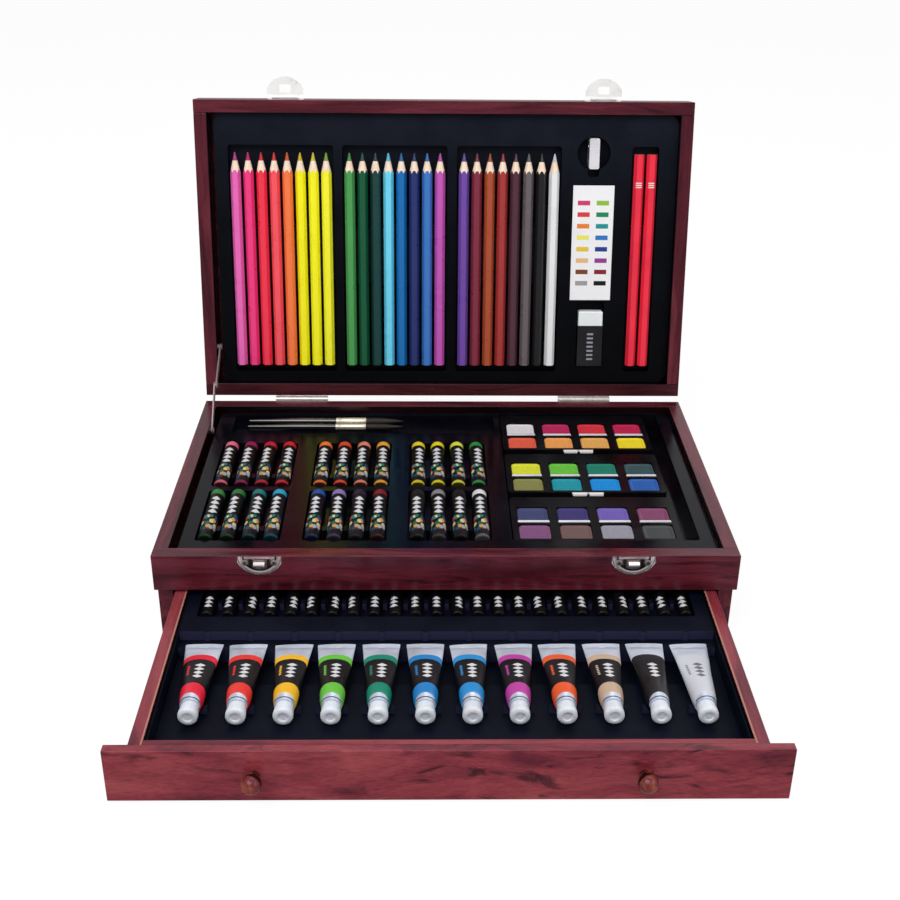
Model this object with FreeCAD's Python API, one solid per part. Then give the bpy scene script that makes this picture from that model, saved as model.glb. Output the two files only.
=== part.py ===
"""Wooden artist's case: a lid held open by a folding stay, a fitted upper tray and a full-width drawer.

The origin is the centre of the underside, +X is to the right, +Y to the back and +Z up, in millimetres.
The case stands open: the lid leans back past upright, and the drawer is pulled out to the front.
"""
import FreeCAD, Part
import math
import os
from FreeCAD import Vector

# Outside of the case
case_width = 385.0
case_depth = 234.0
base_height = 38.5
box_height = 26.5
lid_height = 27.0

# Boards and panels
board = 10.0
panel = 3.0
edge_round = 0.5
base_inset = 1.0

# How far the case stands open
lid_angle = 100.0
drawer_pull = 155.0

# Clearances
rim_gap = 0.6
run_gap = 0.3
pin_fit = 0.05
seat_gap = 0.1
overrun = 5.0

# Butt hinges on the back
hinge_spread_share = 0.5974
hinge_length = 42.0
hinge_offset = 2.9
hinge_leaf = 1.0
hinge_leaf_height = 18.0
hinge_barrel_radius = 2.3
hinge_pin_radius = 1.0
knuckle_share = 0.34
hinge_screw_share = 0.31

# Screws
screw_head_radius = 2.1
screw_head_rise = 0.5
screw_shank_radius = 1.0
screw_depth = 7.0
screw_tip_gap = 0.5
head_taper_share = 0.75

# Latches on the front
latch_spread_share = 0.63377
latch_plate = 0.6
latch_plate_width = 27.6
latch_plate_height = 8.6
latch_plate_corner = 2.0
latch_axis_offset = 2.1
latch_axis_rise = 1.5
latch_pin_radius = 0.6
latch_barrel_radius = 1.3
latch_knuckle_width = 9.4
latch_knuckle_end = 5.0
latch_screw_share = 0.66
hasp_thickness = 0.8
hasp_width = 27.5
hasp_reach = 15.0
hasp_shoulder = 6.0
hasp_root = 1.7
hasp_slot_width = 8.8
hasp_slot_start = 3.2
hasp_slot_end = 9.2
keeper_thickness = 0.8
keeper_width = 28.5
keeper_height = 13.5
keeper_drop = 0.4
keeper_shoulder = 4.5
keeper_screw_share = 0.66
keeper_screw_drop = 4.3
hook_width = 7.2
hook_reach = 4.2
hook_thickness = 0.9
hook_drop = 1.8
hook_fall = 2.6

# Lid stay on the left wall
stay_from_back = 42.0
stay_drop = 6.0
stay_up = 39.0
stay_lid_depth = 6.0
stay_slack = 0.35
stay_thickness = 1.0
stay_width = 5.2
stay_rivet_radius = 1.5
stay_head_radius = 2.9
stay_head_thickness = 0.7
stay_rivet_sink = 4.0
stay_collar_radius = 2.4
stay_channel = 4.1

# Drawer
drawer_front_thickness = 6.0
drawer_front_low = 1.5
drawer_front_gap = 1.5
drawer_wall = 8.0
drawer_side_gap = 2.4
drawer_back_gap = 0.5
drawer_top_drop = 0.5
sub_front_thickness = 4.0
knob_spread_share = 0.57143
knob_ball_radius = 5.8
knob_ball_centre = 6.6
knob_neck_radius = 3.2
knob_flange_radius = 4.2
knob_flange_thickness = 0.8
knob_screw_radius = 1.9
knob_screw_head_radius = 3.6
knob_screw_head_thickness = 1.8
knob_screw_grip = 7.0
knob_height_share = 0.5

# Moulded trays
tray_wall = 1.0
tray_gap = 0.3
tray_corner = 8.0
pocket_corner = 2.5
upper_tray_drop = 5.5
lid_tray_drop = 6.0
drawer_tray_drop = 3.5

# Oil pastels
pastel_radius_share = 0.36711
pastel_length_share = 0.29907
pastel_sink = 2.0
pastel_margin = 1.2
pastel_end_margin = 2.0
pastel_count = 4
pastel_rib_width_share = 0.17676
pastel_rib_length = 6.0
pastel_rib_clear = 1.2
pastel_pitch_share = 0.0403
pastel_column_shares = (-0.770, -0.3767, 0.0129)
pastel_row_share = -0.51495
pastel_row_gap = 6.0
pastel_rib_share = -0.25

# Brushes
brush_slot_width_share = 0.56438
brush_slot_depth_share = 0.14486
brush_slot_share = (-0.345, 0.799)
brush_axis_shares = (0.906, 0.824)
brush_radii = (3.1, 2.6)
brush_start_share = -0.854
brush_handle_share = 0.19178
brush_ferrule_share = 0.06575
brush_hair_share = 0.08219
brush_sink = 3.0
brush_end_share = 0.45
brush_belly_share = 0.35
hair_tip_share = 0.3

# Watercolour palettes
palette_width_share = 0.31507
palette_depth_share = 0.2757
palette_thickness = 8.0
palette_drop = 1.0
palette_count = 3
palette_margin = 1.0
palette_pitch_share = 0.3084
palette_first_share = -0.4098
palette_centre_share = 0.565
palette_channel = 10.0
palette_channel_floor_share = 0.4444
palette_corner = 3.0
well_columns = 4
well_rows = 2
well_width_share = 0.1913
well_depth_share = 0.31356
well_sink = 3.0
well_pitch_share = 0.24522
well_row_pitch_share = 0.3983
well_front_share = 0.20678
cake_gap = 0.2
cake_thickness = 2.6
tab_width = 10.0
tab_reach = 3.0
tab_thickness = 1.4
tab_gap = 2.0

# Pencils in the lid
pencil_width_share = 0.69312
pencil_length_share = 0.78972
pencil_cone = 15.5
pencil_tip_radius = 0.5
pencil_count = 8
pencil_sink = 0.8
pencil_pitch_share = 0.02767
pencil_group_shares = (-0.698, -0.2115, 0.2784)
pencil_centre_share = 0.465
pencil_end_margin = 3.3
pencil_side_margin = 2.1
pencil_pocket_depth = 8.0
saddle_shares = (0.363, 0.607)
saddle_rib_width = 2.0
saddle_rib_rise = 2.4
saddle_rib_end_gap = 2.0
graphite_count = 2
graphite_pitch_share = 0.027
graphite_centre_share = 0.862

# Sharpener, card and eraser in the lid
sharpener_length_share = 0.10981
sharpener_height = 14.0
sharpener_width = 7.8
sharpener_round = 1.5
sharpener_bore_radius = 4.4
sharpener_tip_radius = 1.0
sharpener_bore_share = 0.32
sharpener_rise = 3.0
sharpener_recess_share = 0.55321
sharpener_share = (0.6405, 0.862)
blade_thickness = 0.5
blade_height = 6.2
blade_length_share = 0.89362
blade_screw_radius = 1.6
blade_screw_rise = 0.6
card_width_share = 0.08877
card_length_share = 0.42664
card_thickness = 0.6
card_margin = 0.5
card_recess = 0.8
card_share = (0.6455, 0.5334)
eraser_width_share = 0.05507
eraser_length_share = 0.21028
eraser_thickness = 10.0
eraser_rise = 2.5
eraser_bare_share = 0.26
eraser_share = (0.6507, 0.1729)
eraser_margin = 0.8
eraser_round = 1.2
eraser_finger_room_share = 0.03271
sleeve_wall = 0.4
finger_width = 9.0
finger_length = 7.5
finger_depth = 7.0

# Paint tubes in the drawer, measured back from the drawer's front
tube_count = 12
tube_pitch_share = 0.0809
tube_radius = 7.3
tube_body_share = 0.27286
tube_shoulder_share = 0.0269
tube_neck_radius = 6.8
tube_crimp_width_share = 0.87776
tube_crimp_thickness = 1.6
tube_drop = 9.0
tube_front_share = 0.14523
tube_cap_share = 0.04548
tube_cap_radius = 6.3
tube_cap_tip_radius = 6.1
tube_pocket_inset = 6.0
tube_pocket_sink = 5.0
tube_rest_share = 0.448
tail_shelf_length = 8.0
step_gap_share = 0.03227
step_flute_radius = 3.0
step_flute_rise = 1.2
cradle_width = 19.0
cradle_thickness = 2.4
cradle_drop = 2.5

# Crayons in the drawer
crayon_count = 24
crayon_radius = 4.0
crayon_length_share = 0.36186
crayon_gap_behind_share = 0.08851
crayon_margin = 2.0
crayon_rise = 2.5
crayon_pitch_share = 0.0395
crayon_rib_width_share = 0.2
crayon_rib_length = 5.0
crayon_rib_clear = 0.8
crayon_rib_share = 0.18

# Worked out from the sizes above
half_width = case_width / 2
half_depth = case_depth / 2
rim = base_height + box_height
inner_width = case_width - 2 * board
inner_depth = case_depth - 2 * board
wall_x = inner_width / 2
hinge_y = half_depth + hinge_offset
hinge_z = rim + rim_gap / 2
lean = math.radians(180 - lid_angle)
lid_edge_y = hinge_y + hinge_offset * math.cos(lean) + rim_gap / 2 * math.sin(lean)
lid_edge_z = hinge_z + hinge_offset * math.sin(lean) - rim_gap / 2 * math.cos(lean)
drawer_y = -half_depth - drawer_pull
drawer_front_height = base_height - drawer_front_low - drawer_front_gap
hinge_spread = hinge_spread_share * case_width
latch_spread = latch_spread_share * case_width
knob_spread = knob_spread_share * case_width
pastel_pitch = pastel_pitch_share * inner_width
pastel_radius = pastel_radius_share * pastel_pitch
pastel_length = pastel_length_share * inner_depth
palette_width = palette_width_share * inner_width
palette_depth = palette_depth_share * inner_depth
pencil_pitch = pencil_pitch_share * inner_width
pencil_width = pencil_width_share * pencil_pitch
pencil_length = pencil_length_share * inner_depth
east = Vector(1, 0, 0)
north = Vector(0, 1, 0)
up = Vector(0, 0, 1)
middle = Vector(0, 0, 0)


def save(name, shapes):
    """Write one sub-part, as one solid or as a group of separate solids."""
    group = shapes if isinstance(shapes, list) else [shapes]
    shape = group[0] if len(group) == 1 else Part.makeCompound(group)
    shape.exportStep(os.path.join("parts", name + ".step"))


def block(x0, x1, y0, y1, z0, z1):
    return Part.makeBox(x1 - x0, y1 - y0, z1 - z0, Vector(x0, y0, z0))


def eased(x0, x1, y0, y1, z0, z1):
    """A board with lightly rounded edges."""
    box = block(x0, x1, y0, y1, z0, z1)
    return box.makeFillet(edge_round, box.Edges)


def upright_edges(shape):
    return [edge for edge in shape.Edges if abs(edge.tangentAt(edge.FirstParameter).z) > 0.5]


def slab(x, y, width, depth, z0, z1, corner):
    """A rectangle about (x, y) with round corners, raised from z0 to z1."""
    box = block(x - width / 2, x + width / 2, y - depth / 2, y + depth / 2, z0, z1)
    return box.makeFillet(corner, upright_edges(box))


def rod(start, direction, radius, length):
    return Part.makeCylinder(radius, length, start, direction)


def extrude(points, direction):
    """A flat outline of straight sides, raised along a direction."""
    return Part.Face(Part.makePolygon(points + points[:1])).extrude(direction)


def fuse_all(shapes):
    return shapes[0].multiFuse(shapes[1:]).removeSplitter() if len(shapes) > 1 else shapes[0]


def on_lid(shape):
    """Move a piece from the lid's own frame, where the rim lies flat and up, to the open lid."""
    placed = shape.copy()
    placed.rotate(middle, east, math.degrees(lean))
    placed.translate(Vector(0, lid_edge_y, lid_edge_z))
    return placed


def screw(at, out):
    head = Part.makeCone(screw_head_radius, screw_head_radius * head_taper_share, screw_head_rise, at, out)
    return head.fuse(rod(at - out * screw_depth, out, screw_shank_radius, screw_depth))


def screw_hole(at, out):
    depth = screw_depth + screw_tip_gap
    return rod(at - out * depth, out, screw_shank_radius + pin_fit, depth + overrun)


def rivet_hole(at):
    """The blind hole of a stay rivet in a left-hand board."""
    root = at - east * stay_rivet_sink
    return rod(root, east, stay_rivet_radius + pin_fit, stay_rivet_sink + overrun)


# Places of the screws that enter the boards
def pair(spread, share):
    """Left and right places, a share of a length to each side of each of two centres."""
    return [side * spread / 2 + end * share / 2 for side in (-1, 1) for end in (-1, 1)]


hinge_centres = (-hinge_spread / 2, hinge_spread / 2)
latch_centres = (-latch_spread / 2, latch_spread / 2)
hinge_screw_xs = pair(hinge_spread, 2 * hinge_screw_share * hinge_length)
hinge_screw_drop = hinge_leaf_height / 2 + hinge_barrel_radius
case_hinge_screws = [Vector(x, half_depth, hinge_z - hinge_screw_drop) for x in hinge_screw_xs]
lid_hinge_screws = [Vector(x, 0, rim_gap / 2 - hinge_screw_drop) for x in hinge_screw_xs]
keeper_screw_xs = pair(latch_spread, keeper_screw_share * keeper_width)
keeper_screws = [Vector(x, -half_depth, rim - keeper_drop - keeper_screw_drop) for x in keeper_screw_xs]
latch_screw_xs = pair(latch_spread, latch_screw_share * latch_plate_width)
latch_axis_h = -latch_axis_rise
latch_plate_middle = latch_axis_h - latch_barrel_radius / 2 - latch_plate_height / 2
latch_screws = [Vector(x, case_depth, latch_plate_middle) for x in latch_screw_xs]

# Pivots of the lid stay, in the plane of the left wall
pivot_case = Vector(-wall_x, half_depth - stay_from_back, rim - stay_drop)
pivot_lid = on_lid(Part.Vertex(Vector(-wall_x, stay_up, -stay_lid_depth))).Point
stay_run = pivot_lid - pivot_case
stay_arm = stay_run.Length / 2 + stay_slack
stay_bow = math.sqrt(stay_arm ** 2 - (stay_run.Length / 2) ** 2)
stay_elbow = (pivot_case + pivot_lid) / 2 + Vector(0, -stay_run.z, stay_run.y) * (stay_bow / stay_run.Length)


def upper_box():
    """The four boards of the upper box and its floor panel."""
    back = -half_depth + board
    front = eased(-half_width, half_width, -half_depth, back, base_height, rim)
    save("box_front_rail", front.cut([screw_hole(at, -north) for at in keeper_screws]))
    rear = eased(-half_width, half_width, -back, half_depth, base_height, rim)
    save("box_back_rail", rear.cut([screw_hole(at, north) for at in case_hinge_screws]))
    left = eased(-half_width, -wall_x, back, -back, base_height, rim)
    save("box_left_rail", left.cut(rivet_hole(pivot_case)))
    save("box_right_rail", eased(wall_x, half_width, back, -back, base_height, rim))
    save("box_floor", block(-wall_x, wall_x, back, -back, base_height, base_height + panel))


def lower_section():
    """The sides, back and bottom around the drawer."""
    side = half_width - base_inset
    back = half_depth - base_inset
    front = -half_depth + drawer_front_thickness + run_gap
    save("base_left_side", eased(-side, -side + board, front, back - board, panel, base_height))
    save("base_right_side", eased(side - board, side, front, back - board, panel, base_height))
    save("base_back", eased(-side, side, back - board, back, panel, base_height))
    save("base_bottom", eased(-side, side, front, back, 0, panel))


def lid_shell():
    """The lid's boards and panel, built with the rim up."""
    shell = -(lid_height - panel)
    front = eased(-half_width, half_width, case_depth - board, case_depth, shell, 0)
    front = front.cut([screw_hole(at, north) for at in latch_screws])
    back = eased(-half_width, half_width, 0, board, shell, 0)
    back = back.cut([screw_hole(at, -north) for at in lid_hinge_screws])
    left = eased(-half_width, -wall_x, board, case_depth - board, shell, 0)
    left = left.cut(rivet_hole(Vector(-wall_x, stay_up, -stay_lid_depth)))
    right = eased(wall_x, half_width, board, case_depth - board, shell, 0)
    top = eased(-half_width, half_width, 0, case_depth, -lid_height, shell)
    names = ("lid_front_rail", "lid_back_rail", "lid_left_rail", "lid_right_rail", "lid_panel")
    for name, shape in zip(names, (front, back, left, right, top)):
        save(name, on_lid(shape))


def hinge_leaf_shape(x, knuckles, face, side):
    """One leaf at the axis height zero: a plate against the board, a web, and its knuckles.

    face is the board's face, and side is -1 for the case's leaf below the axis and 1 for the lid's above it.
    """
    near = side * (hinge_barrel_radius - hinge_leaf)
    far = side * hinge_barrel_radius
    low, high = sorted((near, near + side * hinge_leaf_height))
    half = hinge_length / 2
    pieces = [block(x - half, x + half, face, face + hinge_leaf, low, high)]
    for start, end in knuckles:
        web_low, web_high = sorted((near, far))
        pieces.append(block(x + start, x + end, face, face + hinge_offset, web_low, web_high))
        pieces.append(rod(Vector(x + start, face + hinge_offset, 0), east, hinge_barrel_radius, end - start))
    leaf = fuse_all(pieces)
    bore = rod(Vector(x - half - overrun, face + hinge_offset, 0), east, hinge_pin_radius + pin_fit,
               hinge_length + 2 * overrun)
    return leaf.cut(bore)


def hinges():
    half = hinge_length / 2
    inner = knuckle_share * half
    outer_knuckles = ((-half, -inner - run_gap / 2), (inner + run_gap / 2, half))
    inner_knuckle = ((-inner + run_gap / 2, inner - run_gap / 2),)
    case_leaves = []
    lid_leaves = []
    pins = []
    for x in hinge_centres:
        leaf = hinge_leaf_shape(x, outer_knuckles, half_depth, -1)
        leaf.translate(Vector(0, 0, hinge_z))
        case_leaves.append(leaf.cut([screw_hole(at, north) for at in case_hinge_screws]))
        leaf = hinge_leaf_shape(x, inner_knuckle, 0, 1)
        leaf.rotate(middle, east, 180)
        leaf.translate(Vector(0, 0, rim_gap / 2))
        lid_leaves.append(on_lid(leaf.cut([screw_hole(at, -north) for at in lid_hinge_screws])))
        pins.append(rod(Vector(x - half, hinge_y, hinge_z), east, hinge_pin_radius, hinge_length))
    save("hinge_case_leaves", case_leaves)
    save("hinge_lid_leaves", lid_leaves)
    save("hinge_pins", pins)
    save("hinge_case_screws", [screw(at + north * hinge_leaf, north) for at in case_hinge_screws])
    save("hinge_lid_screws", [on_lid(screw(at - north * hinge_leaf, -north)) for at in lid_hinge_screws])


def half_oval(x, width, root, shoulder, reach):
    """A flat plate: a straight edge, short straight sides and a round end, drawn along +Y at z = 0."""
    half = width / 2
    corners = [Vector(x - half, shoulder, 0), Vector(x - half, root, 0), Vector(x + half, root, 0),
               Vector(x + half, shoulder, 0)]
    sides = [Part.LineSegment(a, b).toShape() for a, b in zip(corners, corners[1:])]
    bow = Part.Arc(corners[3], Vector(x, reach, 0), corners[0]).toShape()
    return Part.Face(Part.Wire(sides + [bow]))


def keepers():
    """Half-oval plates with a hook, on the front of the upper box."""
    top = rim - keeper_drop
    plates = []
    for x in latch_centres:
        plate = half_oval(x, keeper_width, 0, keeper_shoulder, keeper_height).extrude(up * keeper_thickness)
        plate.rotate(middle, east, -90)
        plate.translate(Vector(0, -half_depth - keeper_thickness, top))
        face = -half_depth - keeper_thickness / 2
        hook_low = top - hook_drop - hook_thickness
        slope = hook_fall - hook_thickness
        outline = [Vector(x - hook_width / 2, face, top - hook_drop),
                   Vector(x - hook_width / 2, face - hook_reach, top - hook_drop - slope),
                   Vector(x - hook_width / 2, face - hook_reach, top - hook_drop - hook_fall),
                   Vector(x - hook_width / 2, face, hook_low)]
        plate = plate.fuse(extrude(outline, east * hook_width))
        plates.append(plate.cut([screw_hole(at, -north) for at in keeper_screws]))
    save("latch_keepers", plates)
    save("keeper_screws", [screw(at - north * keeper_thickness, -north) for at in keeper_screws])


def latches():
    """Fixed plates, pins and swinging hasps on the lid's front board."""
    axis_v = case_depth + latch_axis_offset
    knuckle = latch_knuckle_width / 2
    plates = []
    pins = []
    for x, name in zip(latch_centres, ("left_hasp", "right_hasp")):
        plate = slab(x, 0, latch_plate_width, latch_plate_height, 0, latch_plate, latch_plate_corner)
        plate.rotate(middle, east, -90)
        plate.translate(Vector(0, case_depth, latch_plate_middle))
        pieces = [plate]
        half_pin = knuckle + run_gap + latch_knuckle_end
        for start in (x - half_pin, x + knuckle + run_gap):
            end = start + latch_knuckle_end
            axis = Vector(start, axis_v, latch_axis_h)
            pieces.append(rod(axis, east, latch_barrel_radius, latch_knuckle_end))
            pieces.append(block(start, end, case_depth, axis_v, latch_axis_h - latch_barrel_radius,
                                latch_axis_h - latch_barrel_radius / 2))
        pin_end = Vector(x - half_pin, axis_v, latch_axis_h)
        bore = rod(pin_end - east * overrun, east, latch_pin_radius + pin_fit, 2 * half_pin + 2 * overrun)
        holes = [bore] + [screw_hole(at, north) for at in latch_screws]
        plates.append(on_lid(fuse_all(pieces).cut(holes)))
        pins.append(on_lid(rod(pin_end, east, latch_pin_radius, 2 * half_pin)))
        flap = half_oval(x, hasp_width, hasp_root, hasp_shoulder, hasp_reach).extrude(up * hasp_thickness)
        flap.translate(Vector(0, 0, -hasp_thickness / 2))
        web = block(x - knuckle, x + knuckle, 0, hasp_root, -hasp_thickness / 2, hasp_thickness / 2)
        flap = fuse_all([flap, web, rod(Vector(x - knuckle, 0, 0), east, latch_barrel_radius, 2 * knuckle)])
        slot_middle = (hasp_slot_start + hasp_slot_end) / 2
        slot = slab(x, slot_middle, hasp_slot_width, hasp_slot_end - hasp_slot_start, -overrun, overrun,
                    latch_barrel_radius)
        pin_room = rod(Vector(x - half_pin, 0, 0), east, latch_pin_radius + pin_fit, 2 * half_pin)
        flap = flap.cut([slot, pin_room])
        flap.translate(Vector(0, axis_v, latch_axis_h))
        save(name, on_lid(flap))
    save("latch_plates", plates)
    save("latch_pins", pins)
    save("latch_screws", [on_lid(screw(at + north * latch_plate, north)) for at in latch_screws])


def link(start, end, x0, hole_at):
    """A flat arm from one pivot to the other, with a hole at one of them."""
    radius = stay_width / 2
    run = end - start
    bar = block(x0, x0 + stay_thickness, 0, run.Length, -radius, radius)
    bar.rotate(middle, east, math.degrees(math.atan2(run.z, run.y)))
    bar.translate(Vector(0, start.y, start.z))
    ends = [rod(Vector(x0, at.y, at.z), east, radius, stay_thickness) for at in (start, end)]
    hole = rod(Vector(x0 - overrun, hole_at.y, hole_at.z), east, stay_rivet_radius + pin_fit, 3 * overrun)
    return fuse_all([bar] + ends).cut(hole)


def lid_stay():
    """Two arms side by side: the lower one on the case wall, the upper one on the lid wall."""
    lower_x = -wall_x + run_gap
    upper_x = lower_x + stay_thickness + run_gap
    save("stay_lower_arm", link(pivot_case, stay_elbow, lower_x, pivot_case))
    arm = link(stay_elbow, pivot_lid, upper_x, pivot_lid)
    button = Vector(upper_x + stay_thickness, stay_elbow.y, stay_elbow.z)
    head_tip = stay_head_radius * head_taper_share
    arm = arm.fuse(Part.makeCone(stay_head_radius, head_tip, stay_head_thickness, button, east))
    save("stay_upper_arm", arm)
    rivets = (("stay_case_rivet", pivot_case, lower_x), ("stay_lid_rivet", pivot_lid, upper_x))
    for name, pivot, arm_x in rivets:
        seat = Vector(arm_x + stay_thickness + run_gap, pivot.y, pivot.z)
        root = Vector(-wall_x - stay_rivet_sink, pivot.y, pivot.z)
        rivet = rod(root, east, stay_rivet_radius, seat.x - root.x)
        pieces = [rivet, Part.makeCone(stay_head_radius, head_tip, stay_head_thickness, seat, east)]
        if arm_x > lower_x:
            pieces.append(rod(pivot, east, stay_collar_radius, arm_x - run_gap + wall_x))
        save(name, fuse_all(pieces))


def pocket(x, y, width, depth, floor, face, corner):
    """The outside and the hollow of one pocket in a moulded tray."""
    wall = 2 * tray_wall
    outer = slab(x, y, width + wall, depth + wall, floor - tray_wall, face, corner + tray_wall)
    inner = slab(x, y, width, depth, floor, face + overrun, corner)
    return outer, inner


def tray(x, y, width, depth, floor, face, pockets, extras):
    """A thin moulded tray: face, skirt and pockets, with extra solid pieces fused in before the hollows."""
    wall = 2 * tray_wall
    skin = slab(x, y, width, depth, floor, face, tray_corner)
    inside = slab(x, y, width - wall, depth - wall, floor - overrun, face - tray_wall,
                  tray_corner - tray_wall)
    shell = skin.cut(inside).multiFuse([outer for outer, inner in pockets])
    shell = shell.cut([inner for outer, inner in pockets])
    return shell.multiFuse(extras).removeSplitter() if extras else shell.removeSplitter()


def spread_out(count, pitch):
    """Places of a row of pieces about its centre."""
    return [(index - (count - 1) / 2) * pitch for index in range(count)]


tray_left = -wall_x + stay_channel
tray_right = wall_x - tray_gap
tray_x = (tray_left + tray_right) / 2
tray_width = tray_right - tray_left
tray_depth = inner_depth - 2 * tray_gap


def upper_tray():
    """The tray of the upper box, with its pastels, brushes and palettes."""
    floor = base_height + panel
    face = rim - upper_tray_drop
    pockets = []
    ribs = []
    pastel_z = face - pastel_sink
    pastel_floor = pastel_z - pastel_radius - seat_gap
    width = (pastel_count - 1) * pastel_pitch + 2 * (pastel_radius + pastel_margin)
    depth = pastel_length + 2 * pastel_end_margin
    front_row = pastel_row_share * inner_depth / 2
    rib_half = pastel_rib_width_share * pastel_pitch / 2
    pastels = []
    for column in pastel_column_shares:
        for y in (front_row + depth + pastel_row_gap, front_row):
            x = column * wall_x
            pockets.append(pocket(x, y, width, depth, pastel_floor, face, pocket_corner))
            rib_y = y + pastel_rib_share * pastel_length
            for step in spread_out(pastel_count - 1, pastel_pitch):
                ribs.append(block(x + step - rib_half, x + step + rib_half,
                                  rib_y - pastel_rib_length / 2, rib_y + pastel_rib_length / 2,
                                  pastel_floor, face - pastel_rib_clear))
            for step in spread_out(pastel_count, pastel_pitch):
                start = Vector(x + step, y - pastel_length / 2, pastel_z)
                pastels.append(rod(start, north, pastel_radius, pastel_length))
    save("oil_pastels", pastels)

    slot_x = brush_slot_share[0] * wall_x
    slot_y = brush_slot_share[1] * inner_depth / 2
    brush_z = face - brush_sink
    brush_floor = brush_z - max(brush_radii) - seat_gap
    slot_width = brush_slot_width_share * inner_width
    slot_depth = brush_slot_depth_share * inner_depth
    pockets.append(pocket(slot_x, slot_y, slot_width, slot_depth, brush_floor, face, pocket_corner))
    brushes(brush_floor)

    palette_x = palette_centre_share * wall_x
    palette_top = face - palette_drop
    palette_floor = palette_top - palette_thickness
    pitch = palette_pitch_share * inner_depth
    first_y = palette_first_share * inner_depth
    last_y = first_y + (palette_count - 1) * pitch + palette_depth
    room = palette_width + 2 * palette_margin
    bay_x = palette_x + palette_channel / 2
    pockets.append(pocket(bay_x, (first_y + last_y) / 2, room + palette_channel,
                          last_y - first_y + 2 * palette_margin, palette_floor, face, pocket_corner))
    channel_x = palette_x + (room + palette_channel) / 2
    channel_floor = palette_floor - palette_channel_floor_share * (palette_floor - floor)
    pockets.append(pocket(channel_x, (first_y + last_y) / 2, palette_channel - palette_margin,
                          last_y - first_y - 2 * palette_margin, channel_floor, face, pocket_corner))
    palettes(palette_x, first_y, pitch, palette_floor)
    save("upper_tray", tray(tray_x, 0, tray_width, tray_depth, floor, face, pockets, ribs))


def brushes(floor):
    """Two brushes side by side, each a handle, a ferrule and its hairs."""
    handles = []
    ferrules = []
    hairs = []
    start = brush_start_share * wall_x
    handle = brush_handle_share * inner_width
    ferrule = brush_ferrule_share * inner_width
    hair = brush_hair_share * inner_width
    belly = handle * brush_belly_share
    for share, radius in zip(brush_axis_shares, brush_radii):
        y = share * inner_depth / 2
        z = floor + seat_gap + radius
        tail = Part.makeCone(radius * brush_end_share, radius, handle - belly, Vector(start, y, z), east)
        neck = rod(Vector(start + handle - belly, y, z), east, radius, belly)
        handles.append(tail.fuse(neck))
        ferrules.append(rod(Vector(start + handle, y, z), east, radius, ferrule))
        hair_x = start + handle + ferrule
        hairs.append(Part.makeCone(radius, radius * hair_tip_share, hair, Vector(hair_x, y, z), east))
    save("brush_handles", handles)
    save("brush_ferrules", ferrules)
    save("brush_hairs", hairs)


def palettes(x, first_y, pitch, floor):
    """Watercolour palettes with two rows of wells, and the cakes in them."""
    plates = []
    cakes = []
    top = floor + palette_thickness
    well_width = well_width_share * palette_width
    well_depth = well_depth_share * palette_depth
    for index in range(palette_count):
        front = first_y + index * pitch
        plate = slab(x, front + palette_depth / 2, palette_width, palette_depth, floor, top, palette_corner)
        wells = []
        for row in range(well_rows):
            y = front + (well_front_share + row * well_row_pitch_share) * palette_depth
            for step in spread_out(well_columns, well_pitch_share * palette_width):
                wells.append(slab(x + step, y, well_width, well_depth, top - well_sink, top + overrun,
                                  tray_wall))
                cakes.append(slab(x + step, y, well_width - 2 * cake_gap, well_depth - 2 * cake_gap,
                                  top - well_sink, top - well_sink + cake_thickness, tray_wall))
        plate = plate.cut(wells)
        tabs = []
        for step in spread_out(2, tab_width + tab_gap):
            tabs.append(block(x + step - tab_width / 2, x + step + tab_width / 2, front - tab_reach,
                              front, top - tab_thickness, top))
        plates.append(plate.multiFuse(tabs).removeSplitter() if index else plate)
    save("paint_palettes", plates)
    save("paint_cakes", cakes)


def pencil(length, cone):
    """A hexagonal pencil along +Y from y = 0, lying on a flat, with a turned cone where it is sharpened."""
    across_corners = pencil_width / math.cos(math.radians(30))
    corners = [Vector(across_corners / 2 * math.cos(math.radians(60 * i)), 0,
                      across_corners / 2 * math.sin(math.radians(60 * i))) for i in range(6)]
    hexagon = extrude(corners, north * length)
    if not cone:
        return hexagon
    turned = rod(middle, north, across_corners, length - cone)
    point = Part.makeCone(across_corners / 2, pencil_tip_radius, cone, Vector(0, length - cone, 0), north)
    return hexagon.common(turned.fuse(point))


def pencil_bay(x, count, pitch, face, pencil_h):
    """Two deep pockets and the saddle between them, with ribs that keep the pencils apart."""
    width = (count - 1) * pitch + pencil_width + 2 * pencil_side_margin
    middle_v = board + pencil_centre_share * inner_depth
    half = pencil_length / 2 + pencil_end_margin
    saddle = [board + share * inner_depth for share in saddle_shares]
    deep = face - pencil_pocket_depth
    saddle_h = pencil_h - pencil_width / 2 - seat_gap
    bays = [pocket(x, sum(saddle) / 2, width, saddle[1] - saddle[0], saddle_h, face, tray_wall)]
    for start, end in ((middle_v - half, saddle[0]), (saddle[1], middle_v + half)):
        bays.append(pocket(x, (start + end) / 2, width, end - start + 2 * pocket_corner, deep, face,
                           pocket_corner))
    ribs = []
    rib_inset = pocket_corner + saddle_rib_end_gap
    for step in spread_out(count - 1, pitch):
        ribs.append(block(x + step - saddle_rib_width / 2, x + step + saddle_rib_width / 2,
                          saddle[0] + rib_inset, saddle[1] - rib_inset, saddle_h,
                          saddle_h + saddle_rib_rise))
    return bays, ribs


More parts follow.
